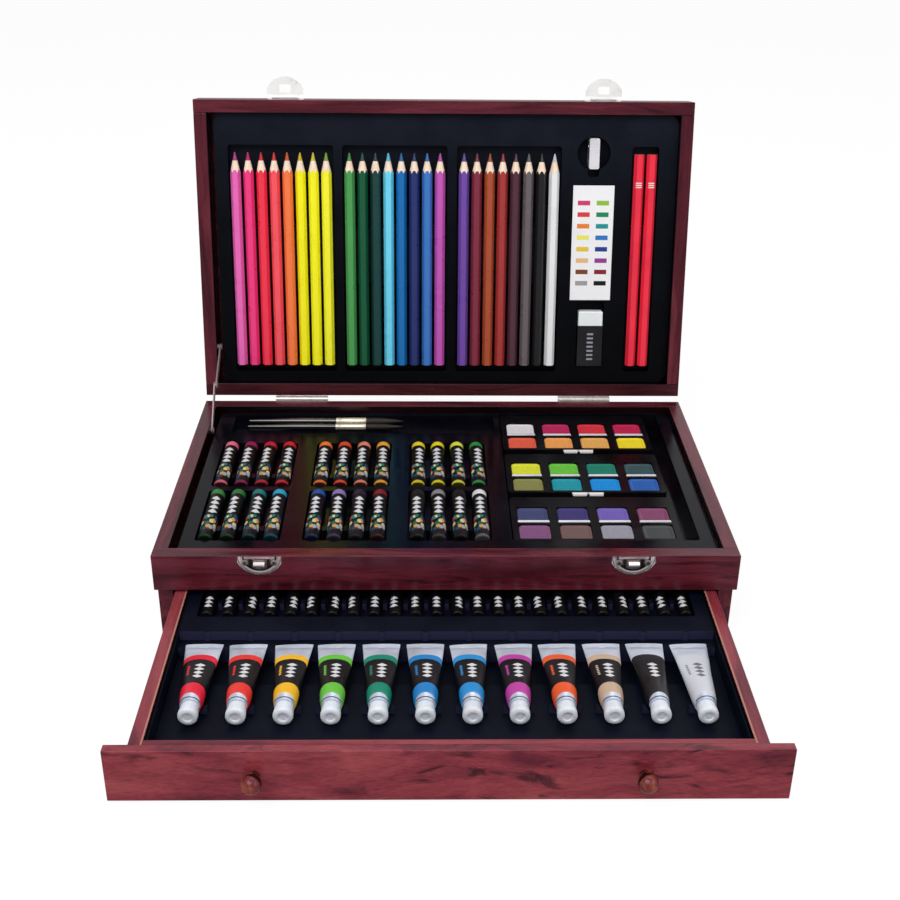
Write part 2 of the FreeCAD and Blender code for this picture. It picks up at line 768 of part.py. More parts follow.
def lid_tray():
    """The tray in the lid, with its pencils, sharpener, card and eraser, built with the rim up."""
    floor = -(lid_height - panel)
    face = -lid_tray_drop
    pencil_h = face + pencil_sink
    pencil_v = board + pencil_centre_share * inner_depth - pencil_length / 2
    pockets = []
    ribs = []
    sharp = pencil(pencil_length, pencil_cone)
    for share, name in zip(pencil_group_shares, ("pencils_left", "pencils_middle", "pencils_right")):
        x = share * wall_x
        bays, saddle_ribs = pencil_bay(x, pencil_count, pencil_pitch, face, pencil_h)
        pockets += bays
        ribs += saddle_ribs
        group = []
        for step in spread_out(pencil_count, pencil_pitch):
            group.append(on_lid(sharp.translated(Vector(x + step, pencil_v, pencil_h))))
        save(name, group)

    x = graphite_centre_share * wall_x
    pitch = graphite_pitch_share * inner_width
    bays, saddle_ribs = pencil_bay(x, graphite_count, pitch, face, pencil_h)
    pockets += bays
    ribs += saddle_ribs
    plain = pencil(pencil_length, 0)
    places = [Vector(x + step, pencil_v, pencil_h) for step in spread_out(graphite_count, pitch)]
    save("graphite_pencils", [on_lid(plain.translated(place)) for place in places])

    pockets += sharpener(face)
    pockets += card_and_eraser(face)
    save("lid_tray", on_lid(tray(tray_x, case_depth / 2, tray_width, tray_depth, floor, face, pockets, ribs)))


def sharpener(face):
    """A small wedge sharpener standing on edge in a round recess, with a finger notch below."""
    x = sharpener_share[0] * wall_x
    v = board + sharpener_share[1] * inner_depth
    top = face + sharpener_rise
    base = top - sharpener_height
    length = sharpener_length_share * inner_depth
    half_length = length / 2
    body = slab(x, v, sharpener_width, length, base, top, sharpener_round)
    blade_x = x - sharpener_width / 2
    bore_x = x - sharpener_width / 2 + sharpener_bore_share * sharpener_width
    bore_z = (base + top) / 2
    bore = Part.makeCone(sharpener_bore_radius, sharpener_tip_radius, length + 2 * overrun,
                         Vector(bore_x, v - half_length - overrun, bore_z), north)
    save("sharpener_body", on_lid(body.cut(bore)))
    half_blade = half_length * blade_length_share
    blade = block(blade_x - blade_thickness, blade_x, v - half_blade, v + half_blade,
                  bore_z, bore_z + blade_height)
    head = rod(Vector(blade_x - blade_thickness, v + half_blade / 2, bore_z + blade_height / 2), -east,
               blade_screw_radius, blade_screw_rise)
    save("sharpener_blade", on_lid(blade.fuse(head)))
    recess = sharpener_recess_share * length
    outer = rod(Vector(x, v, base - tray_wall), up, recess + tray_wall, face - base + tray_wall)
    inner = rod(Vector(x, v, base), up, recess, face - base + overrun)
    notch = pocket(x, v - recess - finger_length / 2 + pocket_corner, finger_width, finger_length,
                   face - finger_depth, face, pocket_corner)
    return [(outer, inner), notch]


def card_and_eraser(face):
    """The colour card in its shallow recess, and the eraser in its sleeve."""
    x = card_share[0] * wall_x
    v = board + card_share[1] * inner_depth
    low = face - card_recess
    card_width = card_width_share * inner_width
    card_length = card_length_share * inner_depth
    card = block(x - card_width / 2, x + card_width / 2, v - card_length / 2, v + card_length / 2,
                 low, low + card_thickness)
    save("colour_chart", on_lid(card))
    recesses = [pocket(x, v, card_width + 2 * card_margin, card_length + 2 * card_margin, low, face,
                       card_margin)]

    x = eraser_share[0] * wall_x
    v = board + eraser_share[1] * inner_depth
    top = face + eraser_rise
    low = top - eraser_thickness
    eraser_width = eraser_width_share * inner_width
    eraser_length = eraser_length_share * inner_depth
    start = v - eraser_length / 2
    end = v + eraser_length / 2
    bare = eraser_bare_share * eraser_length
    inset = eraser_width / 2 - sleeve_wall
    rubber = block(x - inset, x + inset, start, end, low + sleeve_wall, top - sleeve_wall)
    rounded = [edge for edge in rubber.Edges if edge.CenterOfMass.y > end - eraser_round]
    save("eraser", on_lid(rubber.makeFillet(eraser_round, rounded)))
    sleeve = block(x - eraser_width / 2, x + eraser_width / 2, start, end - bare, low, top)
    save("eraser_sleeve", on_lid(sleeve.cut(rubber)))
    room = eraser_length + 2 * eraser_margin + eraser_finger_room_share * inner_depth
    recesses.append(pocket(x, start - eraser_margin + room / 2, eraser_width + 2 * eraser_margin, room,
                           low - seat_gap, face, pocket_corner))
    return recesses


side_x = half_width - base_inset - board - drawer_side_gap
drawer_inner_x = side_x - drawer_wall
drawer_low = panel + run_gap
drawer_top = drawer_front_low + drawer_front_height - drawer_top_drop
drawer_face = drawer_y + drawer_front_thickness
drawer_inside = drawer_face + sub_front_thickness
drawer_back = half_depth - base_inset - board - drawer_back_gap - drawer_pull
knob_z = drawer_front_low + knob_height_share * drawer_front_height
knob_centres = (-knob_spread / 2, knob_spread / 2)


def drawer_box():
    """The drawer's boards, bottom panel, knobs and their screws."""
    holes = [rod(Vector(x, drawer_y - overrun, knob_z), north, knob_screw_radius + pin_fit,
                 drawer_front_thickness + sub_front_thickness + 2 * overrun) for x in knob_centres]
    heads = [rod(Vector(x, drawer_inside - knob_screw_head_thickness - seat_gap, knob_z), north,
                 knob_screw_head_radius + seat_gap, overrun) for x in knob_centres]
    front = eased(-half_width, half_width, drawer_y, drawer_face, drawer_front_low,
                  drawer_front_low + drawer_front_height)
    save("drawer_front", front.cut(holes))
    sub = block(-drawer_inner_x, drawer_inner_x, drawer_face, drawer_inside, drawer_low, drawer_top)
    save("drawer_sub_front", sub.cut(holes + heads))
    inner_back = drawer_back - drawer_wall
    left = eased(-side_x, -drawer_inner_x, drawer_face, drawer_back, drawer_low, drawer_top)
    right = eased(drawer_inner_x, side_x, drawer_face, drawer_back, drawer_low, drawer_top)
    back = eased(-drawer_inner_x, drawer_inner_x, inner_back, drawer_back, drawer_low, drawer_top)
    save("drawer_left_side", left)
    save("drawer_right_side", right)
    save("drawer_back", back)
    save("drawer_bottom", block(-drawer_inner_x, drawer_inner_x, drawer_inside, inner_back, drawer_low,
                                drawer_low + panel))
    knobs = []
    screws = []
    for x in knob_centres:
        knobs.append(knob(x))
        head_y = drawer_inside - knob_screw_head_thickness
        tip_y = drawer_y - knob_screw_grip
        shank = rod(Vector(x, tip_y, knob_z), north, knob_screw_radius, head_y - tip_y)
        head = rod(Vector(x, head_y, knob_z), north, knob_screw_head_radius, knob_screw_head_thickness)
        screws.append(shank.fuse(head))
    save("drawer_knobs", knobs)
    save("knob_screws", screws)


def knob(x):
    """A turned wooden knob: a thin flange, a neck and a ball, with a blind hole for its screw."""
    neck_end = knob_ball_centre - math.sqrt(knob_ball_radius ** 2 - knob_neck_radius ** 2)
    tip = knob_ball_centre + knob_ball_radius

    def at(radius, out):
        return Vector(x + radius, drawer_y - out, knob_z)

    corners = [at(0, 0), at(knob_flange_radius, 0), at(knob_flange_radius, knob_flange_thickness),
               at(knob_neck_radius, knob_flange_thickness), at(knob_neck_radius, neck_end)]
    sides = [Part.LineSegment(a, b).toShape() for a, b in zip(corners, corners[1:])]
    ball = Part.Arc(corners[-1], at(knob_ball_radius, knob_ball_centre), at(0, tip)).toShape()
    core = Part.LineSegment(at(0, tip), corners[0]).toShape()
    turned = Part.Face(Part.Wire(sides + [ball, core])).revolve(at(0, 0), north, 360)
    depth = knob_screw_grip + screw_tip_gap
    return turned.cut(rod(at(0, depth), north, knob_screw_radius + pin_fit, depth + overrun))


def drawer_contents():
    """The drawer's tray: a low front part for the paint tubes and a raised back part for the crayons."""
    floor = drawer_low + panel
    face = drawer_top - drawer_tray_drop
    inside_back = drawer_back - drawer_wall
    inside_depth = inside_back - drawer_inside
    width = 2 * drawer_inner_x - 2 * tray_gap
    depth = inside_depth - 2 * tray_gap
    middle_y = (drawer_inside + inside_back) / 2

    tube_z = drawer_top - tube_drop
    cap_y = drawer_inside + tube_front_share * inside_depth
    shoulder_y = cap_y + tube_cap_share * inside_depth
    body_y = shoulder_y + tube_shoulder_share * inside_depth
    crimp_y = body_y + tube_body_share * inside_depth
    step_y = crimp_y + step_gap_share * inside_depth
    ledge = tube_z - tube_radius - seat_gap
    flat = tube_crimp_thickness / 2
    swell = (tube_radius - flat) * (tail_shelf_length - step_y + crimp_y) / (crimp_y - body_y)
    shelf = tube_z - flat - swell - seat_gap
    well_y = body_y + tube_rest_share * (crimp_y - body_y)
    shelf_y = step_y - tail_shelf_length
    front_wall = drawer_inside + tray_gap + tray_wall
    shelf_start = shelf_y - pocket_corner
    full = width - 2 * tray_wall
    pockets = [
        pocket(0, (front_wall + shelf_y) / 2, full, shelf_y - front_wall, ledge, face, pocket_corner),
        pocket(0, (well_y + shelf_y) / 2, full - 2 * tube_pocket_inset, shelf_y - well_y,
               ledge - tube_pocket_sink, face, tray_wall),
        pocket(0, (shelf_start + step_y) / 2, full, step_y - shelf_start, shelf, face, tray_wall),
    ]

    crayon_z = face + crayon_rise - crayon_radius
    crayon_y = step_y + crayon_gap_behind_share * inside_depth
    crayon_length = crayon_length_share * inside_depth
    pitch = crayon_pitch_share * 2 * drawer_inner_x
    margin = 2 * (crayon_radius + crayon_margin)
    pockets.append(pocket(0, crayon_y + crayon_length / 2, (crayon_count - 1) * pitch + margin,
                          crayon_length + 2 * crayon_margin, crayon_z - crayon_radius - seat_gap, face,
                          pocket_corner))
    save("crayons", [rod(Vector(step, crayon_y, crayon_z), north, crayon_radius, crayon_length)
                     for step in spread_out(crayon_count, pitch)])
    raised = []
    rib_half = crayon_rib_width_share * pitch / 2
    rib_y = crayon_y + crayon_rib_share * crayon_length
    for x in spread_out(crayon_count - 1, pitch):
        raised.append(block(x - rib_half, x + rib_half, rib_y, rib_y + crayon_rib_length,
                            crayon_z - crayon_radius - seat_gap, face - crayon_rib_clear))
    tubes = []
    caps = []
    pitch = tube_pitch_share * 2 * drawer_inner_x
    crimp_half = tube_crimp_width_share * pitch / 2
    for x in spread_out(tube_count, pitch):
        cradle = block(x - cradle_width / 2, x + cradle_width / 2, body_y - cradle_thickness, body_y,
                       ledge, tube_z - cradle_drop)
        room = rod(Vector(x, shoulder_y, tube_z), north, tube_radius + tray_gap, crimp_y - shoulder_y)
        raised += cradle.cut(room).Solids
        flute = Vector(x, step_y + step_flute_radius - step_flute_rise, shelf)
        raised.append(rod(flute, up, step_flute_radius, face - shelf))
        tubes.append(paint_tube(Vector(x, shoulder_y, tube_z), body_y, crimp_y, crimp_half))
        caps.append(Part.makeCone(tube_cap_tip_radius, tube_cap_radius, shoulder_y - cap_y,
                                  Vector(x, cap_y, tube_z), north))
    save("paint_tubes", tubes)
    save("tube_caps", caps)
    save("drawer_tray", tray(0, middle_y, width, depth, floor, face, pockets, raised))


def paint_tube(neck, body_y, crimp_y, crimp_half):
    """A metal tube from its neck back, round at the shoulder and pressed flat at the crimp."""
    shoulder = Part.makeCone(tube_neck_radius, tube_radius, body_y - neck.y, neck, north)
    mouth = Part.makeCircle(tube_radius, middle, north)
    press = FreeCAD.Matrix()
    press.scale(crimp_half / tube_radius, 1, tube_crimp_thickness / 2 / tube_radius)
    crimp = Part.Wire(mouth.transformGeometry(press)).translated(Vector(neck.x, crimp_y, neck.z))
    body = Part.makeLoft([Part.Wire(mouth).translated(Vector(neck.x, body_y, neck.z)), crimp], True, True)
    return shoulder.fuse(body)


os.makedirs("parts", exist_ok=True)
upper_box()
lower_section()
lid_shell()
hinges()
keepers()
latches()
lid_stay()
upper_tray()
lid_tray()
drawer_box()
drawer_contents()
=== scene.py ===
import math
import random

import bmesh
import bpy
from mathutils import Matrix, Vector

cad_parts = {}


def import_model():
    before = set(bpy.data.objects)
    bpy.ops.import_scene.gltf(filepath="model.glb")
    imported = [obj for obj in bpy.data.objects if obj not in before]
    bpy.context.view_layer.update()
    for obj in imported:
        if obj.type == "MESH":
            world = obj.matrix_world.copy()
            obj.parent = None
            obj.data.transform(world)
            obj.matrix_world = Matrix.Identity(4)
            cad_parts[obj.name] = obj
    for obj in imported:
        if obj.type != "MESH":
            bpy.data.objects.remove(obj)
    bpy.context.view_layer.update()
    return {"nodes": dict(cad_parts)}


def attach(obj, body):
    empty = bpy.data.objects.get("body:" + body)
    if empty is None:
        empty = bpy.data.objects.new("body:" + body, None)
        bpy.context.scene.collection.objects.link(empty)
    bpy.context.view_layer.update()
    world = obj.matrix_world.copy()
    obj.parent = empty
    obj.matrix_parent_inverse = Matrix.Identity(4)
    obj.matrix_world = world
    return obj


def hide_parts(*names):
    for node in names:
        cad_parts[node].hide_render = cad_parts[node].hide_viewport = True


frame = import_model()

nodes = frame["nodes"]
MM = 0.001

# The lid's own frame: x along the hinge, y from the hinge edge outwards, z out of the rim
LID_LEAN = math.radians(80)
LID_DEPTH = 0.234
LID = Matrix.Translation((0, 0.120699, 0.0681038)) @ Matrix.Rotation(LID_LEAN, 4, "X")
HERE = Matrix.Identity(4)


def tone(red, green, blue):
    """A colour as it looks on a screen, turned into linear light."""
    def linear(value):
        value /= 255
        return value / 12.92 if value <= 0.04045 else ((value + 0.055) / 1.055) ** 2.4
    return (linear(red), linear(green), linear(blue), 1.0)


def tones(*colours):
    return [tone(*colour) for colour in colours]


def grey(value):
    return (value, value, value, 1.0)


def scaled(colour, factor):
    return tuple(c * factor for c in colour[:3]) + (1,)


# Shader helpers
def add(tree, kind, inputs=None, **settings):
    """Add a node, with settings first, and inputs that are values or other nodes' sockets."""
    node = tree.nodes.new("ShaderNode" + kind)
    for name, value in settings.items():
        setattr(node, name, value)
    for key, value in (inputs or {}).items():
        if isinstance(value, bpy.types.NodeSocket):
            tree.links.new(value, node.inputs[key])
        else:
            node.inputs[key].default_value = value
    return node


def calc(tree, operation, *values):
    return add(tree, "Math", dict(enumerate(values)), operation=operation).outputs[0]


def noise(tree, place, stretch=None, offset=(0, 0, 0), **inputs):
    """Noise at a place. stretch gives the number of its cells to the metre on each axis."""
    if stretch:
        place = add(tree, "Mapping", {0: place, 1: offset, 3: stretch}).outputs[0]
    return add(tree, "TexNoise", {"Vector": place, "Scale": 1.0, **inputs}).outputs


def group_node(tree, name, place):
    return add(tree, "Group", {0: place}, node_tree=bpy.data.node_groups[name]).outputs


def new_group(name, *outputs):
    """A node group that turns one place into a number for each name in outputs."""
    tree = bpy.data.node_groups.new(name, "ShaderNodeTree")
    tree.interface.new_socket("Vector", in_out="INPUT", socket_type="NodeSocketVector")
    for label in outputs:
        tree.interface.new_socket(label, in_out="OUTPUT", socket_type="NodeSocketFloat")
    given, result = tree.nodes.new("NodeGroupInput"), tree.nodes.new("NodeGroupOutput")
    return tree, given.outputs[0], result.inputs


def grain_group():
    """Wood figure: X runs along the grain, in metres. Gives broad bands, dark streaks and fine pores."""
    tree, place, result = new_group("grain", "Bands", "Streaks", "Pores")
    warp = noise(tree, place, (9, 22, 22), Detail=2.0)["Color"]
    shift = add(tree, "VectorMath", {0: warp, 1: (0.5, 0.5, 0.5)}, operation="SUBTRACT").outputs[0]
    shift = add(tree, "VectorMath", {0: shift, "Scale": 0.02}, operation="SCALE").outputs[0]
    bent = add(tree, "VectorMath", {0: place, 1: shift}, operation="ADD").outputs[0]
    bands = noise(tree, bent, (7, 95, 95), Detail=5.0, Roughness=0.6, Distortion=0.4)[0]
    streaks = noise(tree, bent, (11, 190, 190), (3.1, 1.7, 0.4), Detail=4.0, Roughness=0.55,
                    Distortion=1.2)[0]
    pores = noise(tree, place, (160, 2600, 2600), Detail=2.0, Roughness=0.6)[0]
    sharp = add(tree, "MapRange", {0: streaks, 1: 0.55, 2: 0.68}).outputs[0]
    for index, output in enumerate((bands, sharp, pores)):
        tree.links.new(output, result[index])


def handling_group():
    """Handling marks from a place in metres: slow smears and fine grit."""
    tree, place, result = new_group("handling", "Smear", "Grit")
    tree.links.new(noise(tree, place, Scale=38.0, Detail=3.0, Roughness=0.6)[0], result[0])
    tree.links.new(noise(tree, place, Scale=1900.0, Detail=2.0)[0], result[1])


class Finish:
    """A material with a Principled shader, its coordinates and the shared handling marks."""

    def __init__(self, name, roughness, metallic=0.0, specular=0.5, coat=0.0):
        self.material = bpy.data.materials.new(name)
        self.material.use_nodes = True
        self.tree = self.material.node_tree
        self.shader = next(n for n in self.tree.nodes if n.type == "BSDF_PRINCIPLED")
        for label, value in (("Metallic", metallic), ("Roughness", roughness), ("Coat Weight", coat),
                             ("Specular IOR Level", specular), ("Coat Roughness", 0.12)):
            self.shader.inputs[label].default_value = value
        self.roughness = roughness
        coordinates = self.add("TexCoord").outputs
        self.place, self.normal, self.uv = (coordinates[key] for key in ("Object", "Normal", "UV"))
        self.marks = group_node(self.tree, "handling", self.place)

    def add(self, kind, inputs=None, **settings):
        return add(self.tree, kind, inputs, **settings)

    def calc(self, operation, *values):
        return calc(self.tree, operation, *values)

    def times(self, first, second):
        return self.calc("MULTIPLY", first, second)

    def over(self, first, second):
        return self.calc("DIVIDE", first, second)

    def plus(self, first, second):
        return self.calc("ADD", first, second)

    def minus(self, first, second):
        return self.calc("SUBTRACT", first, second)

    def most(self, first, second):
        return self.calc("MAXIMUM", first, second)

    def size(self, value):
        return self.calc("ABSOLUTE", value)

    def above(self, value, limit):
        """One where value is over the limit, and zero elsewhere. below and between are like it."""
        return self.calc("GREATER_THAN", value, limit)

    def below(self, value, limit):
        return self.calc("LESS_THAN", value, limit)

    def between(self, value, low, high):
        return self.times(self.above(value, low), self.below(value, high))

    def bars(self, value, rate, gap):
        """Bars across value, at a rate to the metre."""
        return self.above(self.calc("FRACT", self.times(value, rate)), gap)

    def reach(self, first, second):
        """The length of the slope over two sides at right angles."""
        return self.calc("SQRT", self.plus(self.times(first, first), self.times(second, second)))

    def mix(self, factor, first, second, mode="MIX"):
        inputs = {0: factor, 6: first, 7: second}
        return self.add("Mix", inputs, data_type="RGBA", blend_type=mode).outputs[2]

    def shaded(self, colour, shade):
        return self.mix(1.0, colour, shade, "MULTIPLY")

    def ramp(self, factor, stops, mode="LINEAR"):
        node = self.add("ValToRGB", {0: factor})
        node.color_ramp.interpolation = mode
        elements = node.color_ramp.elements
        while len(elements) < len(stops):
            elements.new(0.5)
        for element, (place, colour) in zip(elements, stops):
            element.position = place
            element.color = colour
        return node.outputs[0]

    def stripes(self, factor, colours):
        """Even stripes of plain colour, as factor goes from zero to one."""
        return self.ramp(factor, [(i / len(colours), c) for i, c in enumerate(colours)], "CONSTANT")

    def axes(self, vector):
        return self.add("SeparateXYZ", {0: vector}).outputs

    def skin(self):
        """The way round a skin from its top, from -0.5 to 0.5, and V along it."""
        u, v = self.axes(self.uv)[:2]
        return self.minus(self.calc("FRACT", self.plus(u, 0.5)), 0.5), v

    def tint(self):
        return self.add("Attribute", attribute_name="tint").outputs

    def unlean(self, vector, centre):
        return self.add("VectorRotate", {0: vector, "Angle": -LID_LEAN, "Center": centre},
                        rotation_type="X_AXIS").outputs[0]

    def lid_place(self):
        """The place in the lid's own frame."""
        corner = tuple(LID.translation)
        turned = self.unlean(self.place, corner)
        return self.add("VectorMath", {0: turned, 1: corner}, operation="SUBTRACT").outputs[0]

    def lid_normal(self):
        """The direction of the surface in the lid's own frame."""
        return self.unlean(self.normal, (0, 0, 0))

    def spread(self, low, high, factor=None):
        """The slow handling marks, or another noise, drawn out to run from low to high."""
        source = factor or self.marks["Smear"]
        return self.add("MapRange", {0: source, 1: 0.3, 2: 0.7, 3: low, 4: high}).outputs[0]

    def varied(self, colour, amount):
        """One colour with slow changes of depth."""
        darker = scaled(colour, 1 - 2 * amount)
        lighter = tuple(min(c * (1 + amount) + 0.01 * amount, 1) for c in colour[:3]) + (1,)
        return self.ramp(self.marks["Smear"], [(0.3, darker), (0.5, colour), (0.72, lighter)])

    def colour(self, socket):
        self.tree.links.new(socket, self.shader.inputs["Base Color"])
        return self

    def gloss(self, amount, factor=None):
        """Let the handling marks change the roughness about its value."""
        value = self.spread(max(self.roughness - amount, 0.03), self.roughness + amount, factor)
        self.tree.links.new(value, self.shader.inputs["Roughness"])
        return self

    def bump(self, height, distance, strength):
        """Add a bump in front of the ones that are there."""
        node = self.add("Bump", {"Height": height, "Distance": distance, "Strength": strength})
        earlier = self.shader.inputs["Normal"].links
        if earlier:
            self.tree.links.new(earlier[0].from_socket, node.inputs["Normal"])
        self.tree.links.new(node.outputs[0], self.shader.inputs["Normal"])
        return self

    def grit(self, strength, distance=0.00003):
        return self.bump(self.marks["Grit"], distance, strength)

    def smear(self, strength, distance):
        return self.bump(self.marks["Smear"], distance, strength)


def dress(material, *names):
    for name in names:
        slots = nodes[name].data.materials
        slots.clear()
        slots.append(material)


def solids(node, place=HERE):
    """The box of each separate solid of a CAD node, in the frame of place.

    They go from left to right, and row by row from the front to the back.
    """
    work = bmesh.new()
    work.from_mesh(nodes[node].data)
    bmesh.ops.remove_doubles(work, verts=work.verts, dist=1e-6)
    work.transform(place.inverted())
    left = set(work.verts)
    boxes = []
    while left:
        found = [left.pop()]
        for vert in found:
            for edge in vert.link_edges:
                other = edge.other_vert(vert)
                if other in left:
                    left.remove(other)
                    found.append(other)
        low = Vector(min(v.co[i] for v in found) for i in range(3))
        high = Vector(max(v.co[i] for v in found) for i in range(3))
        boxes.append((low, high))
    work.free()
    return sorted(boxes, key=lambda box: (round(box[0].y, 3), box[0].x))


# Wood
def wood(name, axis, colours, offset=(0, 0, 0), lid=False, streaks=0.6, edge=None, size=(1, 1, 1)):
    """Lacquered wood with its grain along axis, in a plain, a dark and a light colour.

    The inner faces are darkened with painted shade, edge bares a top edge, and size below 1 makes the figure
    larger.
    """
    plain, dark, light = colours
    finish = Finish(name, 0.27)
    finish.shader.inputs["Specular Tint"].default_value = (1.0, 0.66, 0.78, 1.0)
    place = finish.lid_place() if lid else finish.place
    turn = (0, 0, math.radians(90) if axis == "Y" else 0)
    figure = finish.add("Mapping", {0: place, 1: offset, 2: turn, 3: size}).outputs[0]
    grain = group_node(finish.tree, "grain", figure)
    body = finish.ramp(grain["Bands"], [(0.32, dark), (0.48, plain), (0.7, light)])
    body = finish.mix(finish.times(grain["Streaks"], streaks), body, scaled(dark, 0.22))
    pore = finish.add("MapRange", {0: grain["Pores"], 1: 0.35, 2: 0.55, 3: 0.72, 4: 1.0}).outputs[0]
    body = finish.shaded(body, pore)
    centre = (0, LID_DEPTH / 2 if lid else 0, 0)
    x, y = finish.axes(finish.add("VectorMath", {0: place, 1: centre}, operation="SUBTRACT").outputs[0])[:2]
    nx, ny, nz = finish.axes(finish.lid_normal() if lid else finish.normal)
    # Painted shade: faces that look inwards, towards the middle of the case or lid, are darkened to 6
    # percent.
    inner = finish.below(finish.plus(finish.times(x, nx), finish.times(y, ny)), -0.02)
    body = finish.mix(inner, body, finish.shaded(body, grey(0.06)))
    if edge:
        bared = finish.times(finish.above(nz, 0.5), finish.below(finish.size(x), edge))
        body = finish.mix(bared, body, tone(178, 122, 106))
    finish.colour(body).gloss(0.08, grain["Bands"]).bump(grain["Pores"], 0.00004, 0.35)
    return finish.material


# Mesh helpers
def new_object(name, data):
    made = bpy.data.objects.new(name, data)
    bpy.context.scene.collection.objects.link(made)
    return made


class Build:
    """A mesh under construction, with a UV map and a colour for each face."""

    def __init__(self):
        self.verts = []
        self.faces = []
        self.uvs = []
        self.tints = []
        self.flat = []

    def face(self, corners, uvs, tint, flat=False):
        self.faces.append(corners)
        self.uvs.append(uvs)
        self.tints.append(tint)
        self.flat.append(flat)

    def rings(self, rings, matrix=HERE, tint=(1, 1, 1, 1), spans=None):
        """Skin closed rings of points in turn. spans gives each ring's V, and U runs once round."""
        start = len(self.verts)
        count = len(rings[0])
        spans = spans or [i / (len(rings) - 1) for i in range(len(rings))]
        for ring in rings:
            self.verts.extend(matrix @ Vector(point) for point in ring)
        for i in range(len(rings) - 1):
            for j in range(count):
                after = (j + 1) % count
                corners = [start + i * count + j, start + i * count + after,
                           start + (i + 1) * count + after, start + (i + 1) * count + j]
                self.face(corners, [(j / count, spans[i]), ((j + 1) / count, spans[i]),
                                    ((j + 1) / count, spans[i + 1]), (j / count, spans[i + 1])], tint)
        first = list(range(start, start + count))[::-1]
        last = list(range(start + (len(rings) - 1) * count, start + len(rings) * count))
        self.face(first, [(0.5, spans[0])] * count, tint, True)
        self.face(last, [(0.5, spans[-1])] * count, tint, True)

    def lathe(self, profile, matrix, tint=(1, 1, 1, 1), segments=32, shape=None):
        """Turn a profile of (place along Y, radius) about the Y axis.

        shape may change a radius round the turn.
        """
        rings = []
        for along, radius in profile:
            ring = []
            for j in range(segments):
                angle = 2 * math.pi * j / segments
                reach = shape(along, radius, angle) if shape else radius
                ring.append((reach * math.sin(angle), along, reach * math.cos(angle)))
            rings.append(ring)
        length = profile[-1][0] - profile[0][0]
        self.rings(rings, matrix, tint, [(along - profile[0][0]) / length for along, radius in profile])

    def finish(self, name, body, slot, material, *replaced):
        mesh = bpy.data.meshes.new(name)
        mesh.from_pydata([tuple(v) for v in self.verts], [], self.faces)
        mesh.uv_layers.new(name="skin")
        mesh.attributes.new("tint", "FLOAT_COLOR", "CORNER")
        layer = mesh.uv_layers["skin"]
        tints = mesh.attributes["tint"]
        for polygon, uvs, tint, flat in zip(mesh.polygons, self.uvs, self.tints, self.flat):
            polygon.use_smooth = not flat
            for corner, uv in zip(polygon.loop_indices, uvs):
                layer.data[corner].uv = uv
                tints.data[corner].color = tint
        work = bmesh.new()
        work.from_mesh(mesh)
        bmesh.ops.recalc_face_normals(work, faces=work.faces)
        for edge in work.edges:
            edge.smooth = edge.calc_face_angle(0) < math.radians(35)
        work.to_mesh(mesh)
        work.free()
        mesh.materials.append(material)
        piece = new_object(name, mesh)
        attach(piece, body)
        if replaced:
            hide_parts(*replaced)


def at(x, y, z, place=HERE):
    return place @ Matrix.Translation((x, y, z))


def sized(profile, radius):
    """A profile for the lathe, from millimetres along Y and shares of a radius."""
    return [(along * MM, share * radius) for along, share in profile]


grain_group()
handling_group()

# Boards: a plain, a dark and a light colour for each stain. The third set is the lid colours made darker,
# painted shade for the rail at the hinge
DARK = tones((88, 26, 38), (56, 13, 22), (116, 42, 54))
HINGE_SHADED = tones((66, 20, 26), (44, 11, 16), (86, 30, 36))
RED = tones((134, 48, 58), (90, 26, 42), (160, 70, 74))
KNOB = tones((116, 48, 46), (74, 28, 32), (160, 84, 58))
dress(wood("case_wood_x", "X", DARK, (0.31, 0.2, 0.1)), "box_front_rail", "box_back_rail", "base_back",
      "base_bottom", "box_floor")
dress(wood("case_wood_y", "Y", DARK, (0.7, 0.4, 0.2)), "box_left_rail", "box_right_rail", "base_left_side",
      "base_right_side")
dress(wood("lid_wood_x", "X", DARK, (0.9, 0.1, 0.5), lid=True, streaks=0.5), "lid_front_rail", "lid_panel")
# Painted shade: the rail at the hinge takes the darker copy of the lid colours.
dress(wood("lid_wood_hinge_shaded", "X", HINGE_SHADED, (0.5, 0.3, 0.5), lid=True), "lid_back_rail")
dress(wood("lid_wood_y", "Y", DARK, (0.2, 0.6, 0.9), lid=True, streaks=0.5), "lid_left_rail",
      "lid_right_rail")
dress(wood("drawer_wood_x", "X", RED, (1.3, 0.7, 0.3), streaks=0.85, size=(1.3, 0.5, 0.5)), "drawer_front")
dress(wood("knob_wood", "Y", KNOB, streaks=0.3), "drawer_knobs")
dress(wood("drawer_inner_x", "X", RED, (0.4, 0.9, 0.8), streaks=0.3), "drawer_sub_front", "drawer_back",
      "drawer_bottom")
dress(wood("drawer_inner_y", "Y", RED, (0.8, 0.2, 0.6), streaks=0.3,
           edge=solids("drawer_right_side")[0][0].x + 1.1 * MM), "drawer_left_side", "drawer_right_side")


